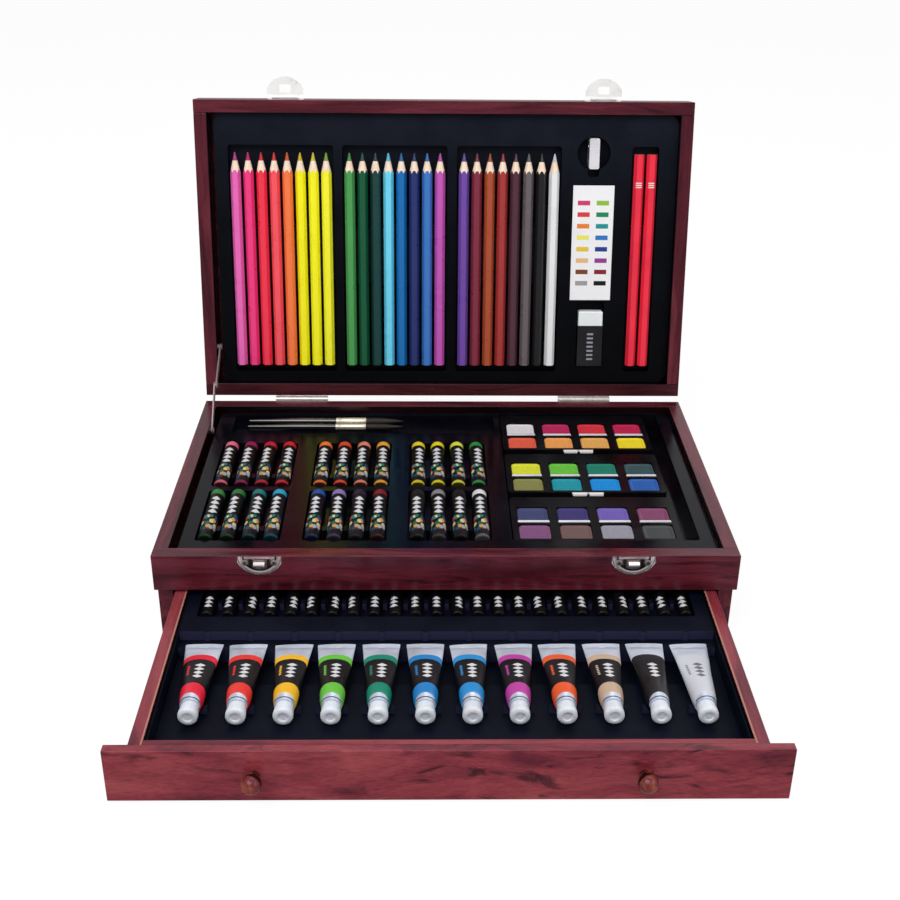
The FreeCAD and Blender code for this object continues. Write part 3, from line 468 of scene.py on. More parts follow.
# Moulded plastic
def trays():
    """Dark sheets: the lid's is darker towards the hinge and lighter towards its free edge, a painted
    reflection, and the drawer's paler where it faces the front, painted light.
    """
    finish = Finish("case_tray_sheet", 0.17, specular=0.13)
    finish.colour(finish.varied(tone(9, 10, 17), 0.18)).gloss(0.07).grit(0.3).smear(0.25, 0.0004)
    dress(finish.material, "upper_tray")
    finish = Finish("lid_tray_sheet", 0.42, specular=0.09)
    v = finish.axes(finish.lid_place())[1]
    # Painted reflection: the lid's sheet runs from nearly black at the hinge to a lighter blue-grey at its
    # free edge.
    lit_sheet = finish.ramp(finish.over(v, LID_DEPTH), [(0.05, tone(5, 6, 10)), (0.6, tone(9, 11, 18)),
                                                    (0.97, tone(22, 26, 39))])
    finish.colour(finish.shaded(lit_sheet, finish.spread(0.8, 1.15))).gloss(0.07).grit(0.3)
    dress(finish.material, "lid_tray")
    finish = Finish("drawer_tray_sheet", 0.45, specular=0.06)
    # Painted light: faces that look to the front are made paler.
    front = finish.below(finish.axes(finish.normal)[1], -0.5)
    lit_sheet = finish.mix(front, finish.varied(tone(12, 16, 29), 0.15), tone(44, 44, 70))
    finish.colour(lit_sheet).gloss(0.07).grit(0.3)
    dress(finish.material, "drawer_tray")


trays()


def palette_plastic():
    """Dark palettes whose finger tab at the front is painted near-white, a painted highlight where it
    catches the light.
    """
    finish = Finish("palette_plastic", 0.3, specular=0.15)
    x, y, z = finish.axes(finish.place)
    boxes = solids("paint_palettes")
    low, high = boxes[0]
    tab_highlight = 0.0
    for box in boxes[1:]:
        tab_highlight = finish.most(tab_highlight, finish.between(y, box[0].y - 1.0 * MM, box[0].y + 3.1 * MM))
    off = finish.size(finish.minus(x, (low.x + high.x) / 2))
    tab_highlight = finish.times(tab_highlight, finish.below(off, 11.5 * MM))
    tab_highlight = finish.times(tab_highlight, finish.above(z, high.z - 1.6 * MM))
    # Painted highlight: the finger tab at the front of the middle and back palettes is near-white.
    body = finish.mix(tab_highlight, finish.varied(tone(9, 10, 14), 0.2), tone(240, 234, 234))
    finish.colour(body).gloss(0.06).grit(0.2).smear(0.2, 0.0003)
    dress(finish.material, "paint_palettes")


palette_plastic()


# Metal
def metal(name, colour, roughness, brushed=(400, 3000, 3000), metallic=1.0):
    finish = Finish(name, roughness, metallic)
    lines = noise(finish.tree, finish.place, brushed, Detail=2.0)[0]
    finish.colour(finish.varied(colour, 0.1)).gloss(0.1).bump(lines, 0.00002, 0.3)
    return finish.material


STEEL_LINES = (300, 2500, 2500)
dress(metal("nickel_plate", tone(232, 227, 222), 0.26, metallic=0.6), "hinge_case_leaves",
      "hinge_lid_leaves", "hinge_pins")
dress(metal("bright_nickel", tone(252, 250, 248), 0.3, metallic=0.25), "latch_plates", "latch_pins",
      "left_hasp", "right_hasp")
dress(metal("stay_steel", tone(150, 134, 138), 0.42, STEEL_LINES, 0.5), "stay_lower_arm", "stay_upper_arm",
      "stay_case_rivet", "stay_lid_rivet")
dress(metal("zinc_steel", tone(222, 216, 206), 0.34, STEEL_LINES, 0.7), "knob_screws")


def keeper_metal():
    """Pressed half-oval plates with a rolled rim and a dark line inside it, painted shade in the groove.
    Painted shade also darkens a band round the hook, and painted highlights lighten the hook and the plate's
    top edge.
    """
    low, high = solids("latch_keepers")[-1]
    finish = Finish("keeper_nickel", 0.2, metallic=0.8)
    x, y, z = finish.axes(finish.place)
    across = finish.over(finish.minus(finish.size(x), (low.x + high.x) / 2), (high.x - low.x) / 2)
    reach = finish.reach(across, finish.over(finish.minus(z, high.z), high.z - low.z))
    rim = finish.ramp(reach, [(0.0, grey(0.3)), (0.66, grey(0.25)), (0.72, grey(0)), (0.78, grey(0)),
                              (0.86, grey(1)), (0.95, grey(0.9)), (1.0, grey(0.2))])
    # Painted shade: a dark band round the hook, where the pressing is recessed.
    plate_light_and_shade = finish.ramp(finish.size(across), [(0.0, tone(132, 118, 116)), (0.3, tone(120, 106, 104)),
                                              (0.36, tone(36, 26, 26)), (0.46, tone(52, 42, 40)),
                                              (0.56, tone(150, 138, 138)), (1.0, tone(170, 158, 158))])
    # Painted light: the top edge of the plate is lighter.
    plate_light_and_shade = finish.mix(finish.above(z, high.z - 1.4 * MM), plate_light_and_shade, tone(206, 190, 190))
    body = finish.mix(finish.below(reach, 0.7), finish.varied(tone(226, 214, 212), 0.1), plate_light_and_shade)
    # Painted highlight: the hook, at the front, is near-white.
    hook_highlight = finish.below(y, low.y + 0.45 * (high.y - low.y))
    body = finish.mix(hook_highlight, body, tone(246, 238, 236))
    # Painted shade: the dark line in the groove inside the rim.
    body = finish.mix(finish.between(reach, 0.7, 0.78), body, tone(54, 44, 44))
    finish.colour(body).gloss(0.1).bump(rim, 0.0007, 0.8).smear(0.4, 0.0004)
    dress(finish.material, "latch_keepers")


keeper_metal()


def screw_metal():
    """Plated steel with a cross recess, drawn about the middle of each head by its UV and painted dark as
    painted shade.
    """
    finish = Finish("screw_steel", 0.3, metallic=1.0)
    u, v = (finish.size(part) for part in finish.axes(finish.uv)[:2])
    narrow = finish.below(finish.calc("MINIMUM", u, v), 0.15)
    cross = finish.times(narrow, finish.below(finish.most(u, v), 0.62))
    # Painted shade: the cross recess is near-black.
    finish.colour(finish.mix(cross, finish.varied(tone(205, 198, 186), 0.1), tone(34, 30, 28))).gloss(0.1)
    finish.bump(finish.minus(1.0, cross), 0.0003, 0.8)
    return finish.material


screw_finish = screw_metal()


def screws(name, body, face, out):
    """Domed heads with a cross recess, in place of a CAD node's screws.

    face gives the frame that they face along Y, and out the sign.
    """
    radius, rise, shank = 0.0021, 0.0005, 1.0 * MM
    build = Build()
    flip = Matrix.Rotation(math.pi if out < 0 else 0, 4, "Z")
    profile = [(-0.0012, shank), (0.0, shank), (0.0, radius), (0.0001, radius), (rise * 0.62, radius * 0.8),
               (rise * 0.9, radius * 0.5), (rise, radius * 0.2), (rise, radius * 0.02)]
    for index, (low, high) in enumerate(solids(name, face)):
        middle = (low + high) / 2
        seat = high.y - rise if out > 0 else low.y + rise
        place = at(middle.x, seat, middle.z, face) @ flip @ Matrix.Rotation(0.5 + 1.9 * index, 4, "Y")
        inverse = place.inverted()
        first = len(build.faces)
        build.lathe(profile, place, segments=24)
        for number in range(first, len(build.faces)):
            points = [inverse @ build.verts[i] for i in build.faces[number]]
            build.uvs[number] = [(p.x / radius, p.z / radius) for p in points]
    build.finish(name + "_heads", body, "screw_steel", screw_finish, name)


screws("hinge_case_screws", "case", HERE, 1)
screws("keeper_screws", "case", HERE, -1)
screws("hinge_lid_screws", "lid", LID, -1)
screws("latch_screws", "lid", LID, 1)


# Pencils, painted by their place across the lid
def pencils(name, colours, tips=None):
    """Lacquered hexagons with bare wood cones. tips gives the lead colours where they differ."""
    boxes = solids(name, LID)
    low, high = boxes[0]
    first = (low.x + high.x) / 2
    last = (boxes[-1][0].x + boxes[-1][1].x) / 2
    pitch = (last - first) / (len(boxes) - 1)
    finish = Finish(name + "_lacquer", 0.3, coat=0.2)
    x, v, h = finish.axes(finish.lid_place())
    across = finish.over(finish.minus(x, first - pitch / 2), pitch * len(boxes))
    paint = finish.shaded(finish.stripes(across, colours), finish.spread(0.97, 1.03))
    lead = finish.shaded(finish.stripes(across, tips or colours), grey(0.6))
    slope = finish.axes(finish.lid_normal())[1]
    cone = finish.above(slope, 0.08)
    place = finish.add("Mapping", {0: finish.place, 2: (0, 1.57, 0), 3: (3, 3, 3)}).outputs[0]
    bands = group_node(finish.tree, "grain", place)["Bands"]
    bare = finish.ramp(bands, [(0.3, tone(244, 210, 184)), (0.7, tone(255, 236, 216))])
    point = finish.above(v, high.y - 6.2 * MM)
    foot = finish.below(slope, -0.5)
    off = finish.times(finish.minus(finish.calc("FRACT", finish.times(across, len(boxes))), 0.5), pitch)
    depth = finish.minus(h, (low.z + high.z) / 2)
    core = finish.times(foot, finish.below(finish.reach(off, depth), 1.3 * MM))
    wooden = finish.most(finish.times(cone, finish.minus(1.0, point)), foot)
    body = finish.mix(finish.most(finish.times(cone, point), core), finish.mix(wooden, paint, bare), lead)
    finish.colour(body).gloss(0.06).grit(0.3)
    dress(finish.material, name)


pencils("pencils_left",
        tones((238, 104, 186), (246, 56, 130), (250, 50, 78), (254, 84, 96),
              (255, 124, 66), (255, 246, 10), (255, 250, 20), (255, 250, 44)),
        tones((200, 60, 150), (220, 30, 110), (225, 30, 60), (235, 60, 60),
              (240, 100, 40), (250, 215, 20), (245, 225, 40), (140, 190, 60)))
pencils("pencils_middle",
        tones((75, 160, 85), (8, 88, 55), (16, 62, 58), (110, 220, 250),
              (10, 110, 185), (36, 48, 110), (58, 120, 200), (200, 85, 185)))
pencils("pencils_right",
        tones((112, 72, 168), (132, 42, 62), (176, 78, 46), (170, 52, 52),
              (82, 46, 58), (106, 96, 100), (22, 20, 24), (240, 240, 242)))


def graphite():
    """Plain red pencils, cut square, with a few pale bars near the far end."""
    high = solids("graphite_pencils", LID)[0][1]
    finish = Finish("graphite_lacquer", 0.22, coat=0.4)
    x, v, h = finish.axes(finish.lid_place())
    cut = finish.above(finish.size(finish.axes(finish.lid_normal())[1]), 0.5)
    mark = finish.between(v, high.y - 26 * MM, high.y - 21 * MM)
    mark = finish.times(mark, finish.above(h, high.z - 0.8 * MM))
    mark = finish.times(mark, finish.bars(v, 620, 0.45))
    paint = finish.mix(mark, finish.varied(tone(246, 44, 70), 0.06), tone(245, 225, 220))
    finish.colour(finish.mix(cut, paint, tone(205, 160, 116))).gloss(0.06).smear(0.3, 0.0002)
    dress(finish.material, "graphite_pencils")


graphite()


def diamonds(finish, side, v, start, end, count, reach):
    """A chain of plain diamonds, down the middle of the top from start to end along V."""
    place = finish.times(finish.minus(v, start), count / (end - start))
    along = finish.size(finish.calc("MULTIPLY_ADD", finish.calc("FRACT", place), 2.0, -1.0))
    across = finish.over(finish.size(side), reach)
    return finish.times(finish.below(finish.plus(along, across), 0.94), finish.between(v, start, end))


def marked(name, roughness, cell, zone, count, confetti=None, reach=0.11):
    """A tinted stick with a dark wrapper over cell, pale diamonds in zone and bright patches in confetti.

    Each of them is a stretch of V, from the front end (0) to the back (1). The front end gets painted shade:
    nearly black where it doesn't face up, and darkened to the tint's alpha where it does.
    """
    finish = Finish(name, roughness, specular=0.22)
    side, v = finish.skin()
    given = finish.tint()
    # Painted shade at the front end: faces that don't face up go nearly black, and upward faces take the
    # tint's alpha.
    lit_upward = finish.above(finish.axes(finish.normal)[2], 0.35)
    shade = finish.add("MapRange", {0: lit_upward, 3: 0.03, 4: given["Alpha"]}).outputs[0]
    shade = finish.most(shade, finish.above(v, 0.5))
    stick = finish.shaded(finish.shaded(given["Color"], shade), finish.spread(0.82, 1.06))
    chain = diamonds(finish, side, v, *zone, count, reach)
    wrapper = finish.mix(chain, finish.varied(tone(8, 8, 11), 0.2), tone(214, 214, 218))
    if confetti:
        spread = {0: finish.times(side, 10.0), 1: finish.times(v, 13.0)}
        spread = finish.add("CombineXYZ", spread).outputs[0]
        cells = finish.add("TexVoronoi", {"Vector": spread, "Scale": 1.0}, voronoi_dimensions="2D").outputs
        hue = finish.add("SeparateColor", {"Color": cells["Color"]}).outputs[0]
        bright = finish.stripes(hue, tones((16, 124, 114), (188, 60, 64), (26, 66, 116), (206, 196, 150),
                                           (160, 162, 170), (18, 98, 84), (206, 110, 108), (206, 150, 60)))
        patch = finish.times(finish.between(v, *confetti), finish.below(finish.size(side), 0.2))
        wrapper = finish.mix(finish.times(finish.below(cells["Distance"], 0.5), patch), wrapper, bright)
    finish.colour(finish.mix(finish.between(v, *cell), stick, wrapper)).gloss(0.08).grit(0.4, 0.00004)
    return finish.material


def pastels():
    """Round sticks, from left to right and front to back. The front row's ends are darker, more painted
    shade.
    """
    colours = tones(
        (54, 136, 64), (44, 122, 60), (20, 126, 130), (40, 164, 204),
        (34, 84, 166), (150, 130, 196), (46, 34, 60), (130, 26, 44),
        (32, 29, 31), (140, 138, 142), (28, 26, 28), (235, 235, 236),
        (238, 110, 140), (150, 28, 84), (204, 32, 60), (222, 34, 52),
        (244, 122, 56), (240, 82, 48), (240, 140, 118), (250, 176, 60),
        (250, 224, 40), (252, 234, 40), (238, 238, 70), (58, 150, 76))
    build = Build()
    for index, (low, high) in enumerate(solids("oil_pastels")):
        middle = (low + high) / 2
        radius = (high.x - low.x) / 2
        length = high.y - low.y
        wrap = radius - 0.03 * MM
        stick = radius - 0.22 * MM
        profile = [(0, stick * 0.4), (0, stick - 1.3 * MM), (0.5 * MM, stick - 0.4 * MM), (1.4 * MM, stick),
                   (2.6 * MM, stick), (2.65 * MM, wrap), (length / 2, wrap), (length - 7.55 * MM, wrap),
                   (length - 7.5 * MM, stick), (length - 1.4 * MM, stick),
                   (length - 0.5 * MM, stick - 0.4 * MM), (length, stick - 1.3 * MM), (length, stick * 0.4)]
        roll = Matrix.Rotation(random.Random(index).uniform(-0.25, 0.25), 4, "Y")
        # Painted shade at the front end: the tint's alpha, lower for the front row.
        shade = 0.1 if index < len(colours) / 2 else 0.6
        build.lathe(profile, at(middle.x, low.y, middle.z) @ roll, colours[index][:3] + (shade,))
    paper = marked("pastel_wrap", 0.42, (0.0409, 0.8824), (0.45, 0.82), 4, (0.12, 0.42))
    build.finish("pastel_sticks", "case", "pastel_wax", paper, "oil_pastels")


pastels()


def crayons():
    """Thin sticks with a stepped point at the back, in the colours of the rainbow."""
    build = Build()
    boxes = solids("crayons")
    for index, (low, high) in enumerate(boxes):
        middle = (low + high) / 2
        radius = (high.x - low.x) / 2
        length = high.y - low.y
        wrap = radius - 0.03 * MM
        stick = radius - 0.2 * MM
        profile = [(0, stick * 0.5), (0, stick - 0.5 * MM), (0.5 * MM, stick), (2.4 * MM, stick),
                   (2.45 * MM, wrap), (length * 0.5, wrap), (length - 12 * MM, wrap),
                   (length - 11.95 * MM, stick), (length - 7 * MM, stick), (length - 6.9 * MM, stick * 0.72),
                   (length - 1 * MM, stick * 0.5), (length, stick * 0.42)]
        hue = index / len(boxes)
        waves = [0.5 + 0.5 * math.cos(2 * math.pi * (hue - part / 3)) for part in range(3)]
        tint = tuple(0.03 + 0.75 * wave * wave for wave in waves) + (1,)
        roll = Matrix.Rotation(random.Random(50 + index).uniform(-0.5, 0.5), 4, "Y")
        build.lathe(profile, at(middle.x, low.y, middle.z) @ roll, tint, segments=24)
    paper = marked("crayon_wrap", 0.4, (-0.01, 0.8382), (0.07, 0.24), 3, reach=0.13)
    build.finish("crayon_sticks", "drawer", "crayon_wrap", paper, "crayons")


crayons()


# Watercolour cakes: pressed blocks with a raised border
def cakes():
    rows = [tones((128, 78, 122), (112, 84, 84), (148, 148, 160), (58, 62, 64)),
            tones((60, 66, 110), (56, 50, 112), (112, 92, 178), (128, 60, 100)),
            tones((134, 134, 74), (20, 150, 164), (0, 140, 220), (28, 92, 176)),
            tones((222, 226, 50), (104, 196, 60), (16, 124, 104), (44, 78, 84)),
            tones((234, 96, 72), (244, 164, 88), (238, 176, 94), (248, 224, 40)),
            tones((236, 232, 236), (196, 42, 96), (226, 54, 70), (200, 36, 84))]
    finish = Finish("cake_paint", 0.5, specular=0.35)
    crumbs = noise(finish.tree, finish.place, Scale=900.0, Detail=4.0)[0]
    body = finish.shaded(finish.tint()["Color"], finish.spread(0.8, 1.08, crumbs))
    finish.colour(body).gloss(0.12).bump(crumbs, 0.00012, 0.5)
    build = Build()
    # Each loop's inset and height in millimetres
    loops = [(0, 0), (0, 2.1), (0.35, 2.5), (0.9, 2.6), (1.6, 2.55), (2.1, 2.2), (3.0, 2.1)]
    points, power = 40, 9
    for index, (low, high) in enumerate(solids("paint_cakes")):
        middle = (low + high) / 2
        half = (high - low) / 2
        rings = []
        for inset, rise in loops:
            ring = []
            for j in range(points):
                angle = 2 * math.pi * (j + 0.5) / points
                c, s = math.cos(angle), math.sin(angle)
                grow = (abs(c) ** power + abs(s) ** power) ** (-1 / power)
                ring.append((c * grow * (half.x - inset * MM), s * grow * (half.y - inset * MM), rise * MM))
            rings.append(ring)
        build.rings(rings, at(middle.x, middle.y, low.z), rows[index // 4][index % 4])
    build.finish("paint_blocks", "case", "paint_cake", finish.material, "paint_cakes")


cakes()


# Palette lips in front of each far well, painted pale as a painted highlight where they catch the light
def palette_lips():
    finish = Finish("palette_lip_highlight", 0.16, specular=0.6)
    # Painted highlight: the lips are a pale grey.
    finish.colour(finish.varied(tone(206, 206, 212), 0.08)).gloss(0.05).grit(0.3)
    build = Build()
    for index, (low, high) in enumerate(solids("paint_cakes")):
        if index // 4 % 2 == 0:
            continue
        top = low.z + 3.0 * MM
        back = low.y - 0.25 * MM
        front = back - 2.2 * MM
        left, right = low.x - 0.2 * MM, high.x + 0.2 * MM
        rings = []
        for x, drop in ((left, 0.5), (left + 0.5 * MM, 0), (right - 0.5 * MM, 0), (right, 0.5)):
            rings.append([(x, front, top - 0.1 * MM), (x, front + 0.4 * MM, top + (0.42 - drop * 0.4) * MM),
                          (x, back - 0.5 * MM, top + (0.75 - drop) * MM), (x, back, top - 0.1 * MM)])
        build.rings(rings)
    build.finish("palette_lips", "case", "palette_plastic", finish.material)


palette_lips()


# Brushes
def brushes():
    handles, ferrules, hairs = Build(), Build(), Build()
    turn = Matrix.Rotation(math.radians(-90), 4, "Z")
    boxes = (solids("brush_" + part) for part in ("handles", "ferrules", "hairs"))
    for handle, ferrule, hair in zip(*boxes):
        middle = (ferrule[0] + ferrule[1]) / 2
        radius = (ferrule[1].z - ferrule[0].z) / 2 - 0.05 * MM

        def lay(box):
            return at(box[0].x, middle.y, middle.z) @ turn
        length = (handle[1].x - handle[0].x) / MM
        profile = [(0, 0.1), (0.3, 0.34), (1.2, 0.44), (length * 0.25, 0.62), (length * 0.5, 0.9),
                   (length * 0.64, 0.98), (length * 0.85, 0.9), (length, 0.82)]
        handles.lathe(sized(profile, radius), lay(handle))
        length = (ferrule[1].x - ferrule[0].x) / MM
        profile = [(0, 0.84), (0.1, 0.9), (3.0, 0.92), (3.4, 0.86), (3.9, 0.92), (4.3, 0.86), (4.8, 0.93),
                   (length * 0.55, 0.97), (length - 0.6, 0.98), (length, 0.93)]
        ferrules.lathe(sized(profile, radius), lay(ferrule))
        length = (hair[1].x - hair[0].x) / MM
        profile = [(0, 0.9), (length * 0.2, 0.98), (length * 0.45, 0.92), (length * 0.7, 0.66),
                   (length * 0.9, 0.3), (length * 0.985, 0.08), (length, 0.02)]
        hairs.lathe(sized(profile, radius), lay(hair))
    lacquer = Finish("brush_lacquer", 0.1, specular=1.0, coat=1.0)
    lacquer.colour(lacquer.varied(tone(12, 9, 11), 0.2)).gloss(0.05).smear(0.3, 0.0002)
    handles.finish("brush_grips", "case", "brush_lacquer", lacquer.material, "brush_handles")
    gold = metal("ferrule_metal", tone(252, 238, 216), 0.24, (4000, 300, 300), 0.7)
    ferrules.finish("brush_sleeves", "case", "ferrule_metal", gold, "brush_ferrules")
    bristle = Finish("brush_hair", 0.5)
    fibres = noise(bristle.tree, bristle.uv, (90, 3, 1), Detail=3.0)[0]
    body = bristle.ramp(fibres, [(0.3, tone(14, 9, 8)), (0.6, tone(34, 24, 20)), (0.8, tone(96, 78, 66))])
    bristle.colour(body).bump(fibres, 0.0003, 0.8)
    hairs.finish("brush_tips", "case", "brush_hair", bristle.material, "brush_hairs")


brushes()


# Paint tubes and their caps
def tube_finish():
    """Soft metal with a tinted shoulder and band, and a dark label with plain diamonds."""
    finish = Finish("tube_metal", 0.34)
    tint = finish.tint()["Color"]
    side, v = finish.skin()
    along = finish.plus(v, finish.times(finish.times(side, side), 1.3))
    rims = finish.most(finish.between(along, 0.082, 0.26), finish.between(along, 0.697, 0.783))
    label = finish.between(along, 0.26, 0.697)
    red, green, blue = finish.add("SeparateColor", {0: tint}).outputs
    pale = finish.above(finish.calc("MINIMUM", finish.calc("MINIMUM", red, green), blue), 0.5)
    chain = diamonds(finish, finish.minus(side, 0.02), v, 0.35, 0.62, 4, 0.06)
    slim = diamonds(finish, finish.plus(side, 0.1), v, 0.41, 0.59, 6, 0.024)
    ground = finish.mix(pale, tone(16, 14, 18), tint)
    printed = finish.mix(chain, ground, finish.mix(pale, tone(226, 226, 230), tone(110, 110, 122)))
    printed = finish.mix(slim, printed, finish.mix(pale, tint, tone(130, 130, 140)))
    bare = finish.varied(tone(222, 228, 244), 0.12)
    bare = finish.mix(finish.below(v, 0.08), bare, tone(196, 204, 220))
    # Painted shade: a darker ring in the groove of the neck.
    bare = finish.mix(finish.between(v, 0.024, 0.036), bare, tone(110, 126, 150))
    body = finish.mix(label, finish.mix(rims, bare, tint), printed)
    shine = finish.minus(0.42, finish.times(finish.most(rims, label), 0.42))
    finish.tree.links.new(shine, finish.shader.inputs["Metallic"])
    crimp = finish.times(finish.calc("SINE", finish.times(v, 900.0)), finish.above(v, 0.94))
    finish.colour(body).gloss(0.08).bump(crimp, 0.0001, 0.5).smear(0.55, 0.0009)
    return finish.material


def tubes():
    """Tubes with a stepped neck and a body that flattens towards its fold, measured in millimetres."""
    build, caps = Build(), Build()
    tints = tones((232, 36, 62), (238, 58, 52), (250, 190, 40), (110, 200, 70), (20, 138, 112),
                  (36, 134, 204), (44, 146, 214), (196, 70, 166), (240, 96, 50), (206, 176, 150),
                  (24, 24, 28), (214, 216, 224))
    neck = [(0, 5.4), (0.05, 6.2), (1.5, 6.4), (1.6, 6.05), (2.0, 6.05), (2.1, 6.6), (3.4, 6.85), (4.8, 7.1)]
    start, radius, half_fold, thin, points = 5.5, 7.25, 12.1, 0.78, 40
    pairs = zip(solids("paint_tubes"), solids("tube_caps"))
    for index, ((low, high), (cap_low, cap_high)) in enumerate(pairs):
        middle = (cap_low + cap_high) / 2
        length = (high.y - low.y) / MM
        fold = length - 4.3
        chance = random.Random(200 + index)
        lean = chance.uniform(-0.012, 0.012)
        phases = [chance.uniform(0, 6.28) for _ in range(4)]
        tilt = chance.uniform(0, 1.4)
        places = [place for place, reach in neck]
        places += [start, 7, 10, 14, 19, 24, 29, 34, 39, 44, 48, 51.5, 54]
        places += [fold - 0.8, fold, length - 0.4, length]
        rings = []
        for number, place in enumerate(places):
            share = max((place - start) / (length - start), 0)
            wide = radius + (half_fold - radius) * share
            thick = max(radius + (thin - radius) * share, 0.95) if place < fold else thin
            if number < len(neck):
                wide = thick = neck[number][1]
            ring = []
            for j in range(points):
                angle = 2 * math.pi * j / points
                dent = 0.1 * share * (1 - share) * 4 * math.sin(2 * angle + phases[0] + place * 0.11)
                dent += 0.06 * (1 - share) * share * 4 * math.sin(3 * angle + phases[1] - place * 0.2)
                skew = tilt * max(place - 50, 0) / (length - 50) * (0.5 - 0.5 * math.sin(angle))
                ring.append(((wide + dent - 0.15) * math.sin(angle) * MM + lean * place * MM,
                             (place - skew) * MM,
                             (thick + dent * min(thick / 4, 1)) * math.cos(angle) * MM))
            rings.append(ring)
        build.rings(rings, at(middle.x, low.y, middle.z), tints[index], [p / length for p in places])
        cap = (cap_high.y - cap_low.y) / MM

        def ribs(along, reach, angle):
            inside = 1.2 * MM < along < (cap - 1.6) * MM
            return reach * (1 - (0.025 if inside and math.cos(24 * angle) < 0 else 0))
        profile = [(0.8, 0.2), (0.8, 0.4), (0.2, 0.46), (0, 0.54), (0.02, 0.66), (0.25, 0.82), (0.8, 0.92),
                   (1.6, 0.96), (cap * 0.35, 0.95), (cap * 0.7, 0.9), (cap - 1, 0.87), (cap, 0.85)]
        profile = sized(profile, (cap_high.x - cap_low.x) / 2)
        caps.lathe(profile, at(middle.x, cap_low.y, middle.z), segments=96, shape=ribs)
    build.finish("tube_bodies", "drawer", "tube_metal", tube_finish(), "paint_tubes")
    white = Finish("cap_plastic", 0.3)
    white.shader.inputs["Subsurface Weight"].default_value = 0.1
    white.colour(white.varied(tone(236, 237, 246), 0.04)).gloss(0.06).grit(0.3)
    caps.finish("tube_lids", "drawer", "cap_plastic", white.material, "tube_caps")


tubes()


# Card, eraser and sharpener
def card():
    """A pale card with two columns of colour chips."""
    low, high = solids("colour_chart", LID)[0]
    finish = Finish("chart_card", 0.5, specular=0.3)
    x, v, h = finish.axes(finish.lid_place())
    across = finish.over(finish.minus(x, low.x), high.x - low.x)
    along = finish.over(finish.minus(v, low.y), high.y - low.y)
    left = tones((246, 246, 248), (160, 160, 166), (126, 70, 40), (236, 186, 130), (236, 200, 60),
                 (240, 236, 110), (240, 130, 50), (222, 60, 66), (214, 60, 110), (246, 246, 248))
    right = tones((246, 246, 248), (20, 20, 22), (140, 30, 46), (150, 60, 150), (34, 60, 150),
                  (40, 120, 200), (20, 150, 150), (24, 140, 90), (150, 196, 60), (246, 246, 248))
    chips = finish.mix(finish.above(across, 0.5), finish.stripes(along, left), finish.stripes(along, right))
    local_x = finish.size(finish.minus(finish.calc("PINGPONG", across, 0.5), 0.27))
    local_v = finish.size(finish.minus(finish.calc("FRACT", finish.times(along, len(left))), 0.5))
    chip = finish.times(finish.below(local_x, 0.15), finish.below(local_v, 0.2))
    body = finish.mix(chip, finish.varied(tone(246, 246, 248), 0.02), chips)
    finish.colour(body).gloss(0.08).grit(0.3)
    dress(finish.material, "colour_chart")


card()


def eraser():
    """White rubber in a dark sleeve with plain bars."""
    rubber = Finish("eraser_rubber", 0.5)
    rubber.shader.inputs["Subsurface Weight"].default_value = 0.15
    rubber.colour(rubber.varied(tone(248, 248, 248), 0.02)).gloss(0.1).grit(0.5, 0.00006)
    dress(rubber.material, "eraser")
    low, high = solids("eraser_sleeve", LID)[0]
    finish = Finish("eraser_sleeve", 0.35)
    x, v, h = finish.axes(finish.lid_place())
    up = finish.above(finish.axes(finish.lid_normal())[2], 0.5)
    zone = finish.times(finish.between(v, low.y + 5 * MM, high.y - 5 * MM),
                        finish.between(x, low.x + 7.6 * MM, low.x + 12.6 * MM))
    mark = finish.times(finish.times(zone, finish.bars(v, 290, 0.55)), up)
    body = finish.mix(mark, finish.varied(tone(24, 24, 30), 0.2), tone(150, 152, 160))
    finish.colour(body).gloss(0.08).grit(0.3)
    dress(finish.material, "eraser_sleeve")


eraser()


def sharpener():
    finish = Finish("sharpener_metal", 0.34, metallic=0.3)
    v = finish.axes(finish.lid_place())[1]
    ridges = finish.calc("SINE", finish.times(v, 5200.0))
    finish.colour(finish.varied(tone(236, 234, 240), 0.06)).gloss(0.1).bump(ridges, 0.0001, 0.4)
    dress(finish.material, "sharpener_body")
    dress(metal("blade_steel", tone(176, 182, 192), 0.2, (300, 4000, 4000)), "sharpener_blade")


sharpener()


# Stage, light and camera
def stage():
    mesh = bpy.data.meshes.new("floor")
    mesh.from_pydata([(-6, -6, 0), (6, -6, 0), (6, 6, 0), (-6, 6, 0)], [], [(0, 1, 2, 3)])
    floor = new_object("floor", mesh)
    material = bpy.data.materials.new("floor_paper")
    material.use_nodes = True
    tree = material.node_tree
    shader = next(n for n in tree.nodes if n.type == "BSDF_PRINCIPLED")
    shader.inputs["Base Color"].default_value = grey(0.94)
    shader.inputs["Roughness"].default_value = 0.9
    shader.inputs["Specular IOR Level"].default_value = 0.1
    output = next(n for n in tree.nodes if n.type == "OUTPUT_MATERIAL")
    glow = add(tree, "Emission", {"Color": grey(1.0), "Strength": 1.06})
    path = add(tree, "LightPath")
    seen = calc(tree, "MULTIPLY", path.outputs["Is Camera Ray"], 0.85)
    mixed = add(tree, "MixShader", {0: seen, 1: shader.outputs[0], 2: glow.outputs[0]})
    tree.links.new(mixed.outputs[0], output.inputs[0])
    mesh.materials.append(material)
    floor.visible_glossy = False


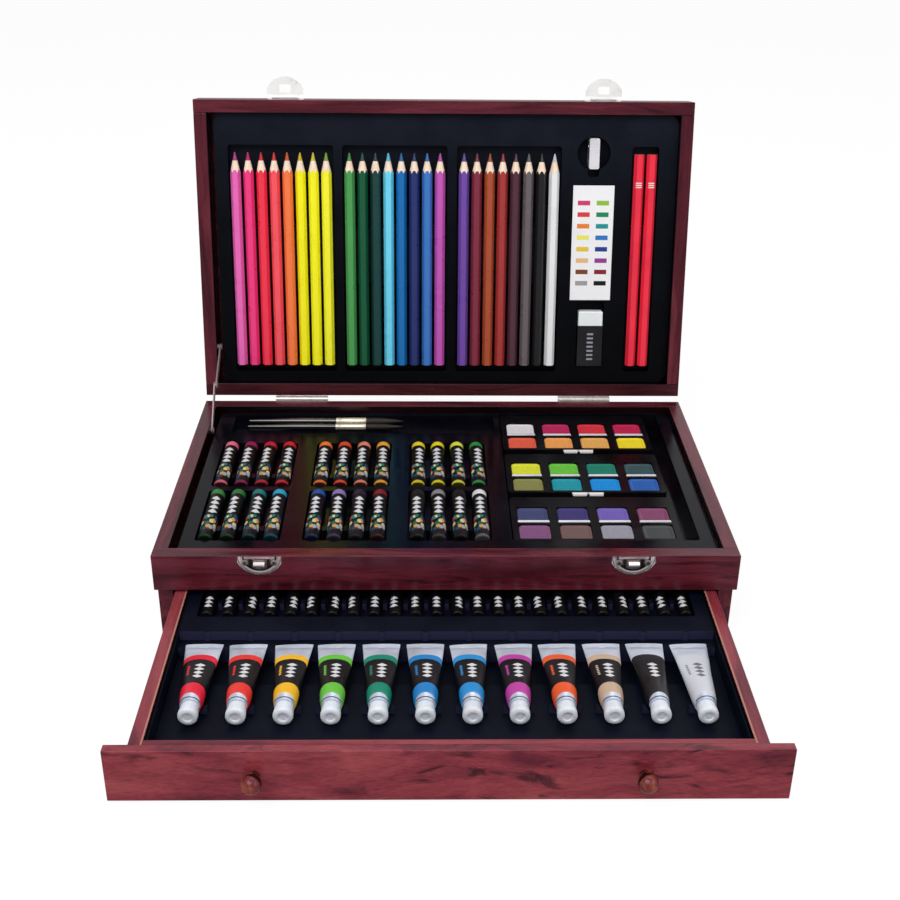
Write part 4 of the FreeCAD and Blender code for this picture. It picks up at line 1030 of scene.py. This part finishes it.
def world():
    """White to the camera, even to other rays, and in reflections brighter above and behind at the right."""
    place = bpy.data.worlds.new("studio")
    bpy.context.scene.world = place
    place.use_nodes = True
    tree = place.node_tree
    even = next(n for n in tree.nodes if n.type == "BACKGROUND")
    output = next(n for n in tree.nodes if n.type == "OUTPUT_WORLD")
    even.inputs["Color"].default_value = grey(1.0)
    even.inputs["Strength"].default_value = 0.45
    white = add(tree, "Background", {"Color": grey(1.0), "Strength": 1.0})
    axes = add(tree, "SeparateXYZ", {0: add(tree, "TexCoord").outputs["Generated"]}).outputs
    behind = add(tree, "MapRange", {0: axes[1], 1: -0.3, 2: 0.3}, interpolation_type="SMOOTHSTEP").outputs[0]
    above = add(tree, "MapRange", {0: axes[2], 1: -0.1, 2: 0.1}, interpolation_type="SMOOTHSTEP").outputs[0]
    right = add(tree, "MapRange", {0: axes[0], 1: -0.5, 2: 0.5, 3: 0.25, 4: 0.85}).outputs[0]
    strength = calc(tree, "MULTIPLY_ADD", calc(tree, "MULTIPLY", behind, above), right, 0.3)
    mirrored = add(tree, "Background", {"Color": grey(1.0), "Strength": strength})
    path = add(tree, "LightPath").outputs
    mixed = add(tree, "MixShader", {0: path["Is Glossy Ray"], 1: even.outputs[0], 2: mirrored.outputs[0]})
    mixed = add(tree, "MixShader", {0: path["Is Camera Ray"], 1: mixed.outputs[0], 2: white.outputs[0]})
    tree.links.new(mixed.outputs[0], output.inputs[0])


def lamp(name, place, width, height, power):
    data = bpy.data.lights.new(name, "AREA")
    data.shape = "RECTANGLE"
    data.size = width
    data.size_y = height
    data.energy = power
    light = new_object(name, data)
    light.location = place
    light.rotation_mode = "QUATERNION"
    light.rotation_quaternion = (Vector((0, 0, 0.1)) - Vector(place)).to_track_quat("-Z", "Y")


def camera():
    """The photograph's own view, solved from the case's edges."""
    data = bpy.data.cameras.new("camera")
    data.lens = 51.019
    data.sensor_width = 36
    data.shift_x = 0.0008
    data.shift_y = -0.0346
    pitch, yaw, roll = (math.radians(a) for a in (26.332, 1.158, 0.63))
    ahead = Vector((math.sin(yaw) * math.cos(pitch), math.cos(yaw) * math.cos(pitch), -math.sin(pitch)))
    right = Vector((math.cos(yaw), -math.sin(yaw), 0))
    up = right.cross(ahead)
    right, up = (right * math.cos(roll) + up * math.sin(roll), up * math.cos(roll) - right * math.sin(roll))
    turn = Matrix((right, up, -ahead)).transposed().to_4x4()
    view = new_object("camera", data)
    view.matrix_world = Matrix.Translation((-0.013765, -0.821355, 0.513371)) @ turn
    bpy.context.scene.camera = view


stage()
world()
lamp("key", (-0.5, -1.0, 1.5), 1.6, 1.0, 18)
lamp("fill", (1.3, -0.9, 0.9), 1.0, 1.0, 5)
lamp("back", (0.2, 0.9, 2.2), 1.4, 0.8, 6)
camera()
bpy.context.scene.view_settings.view_transform = "Standard"
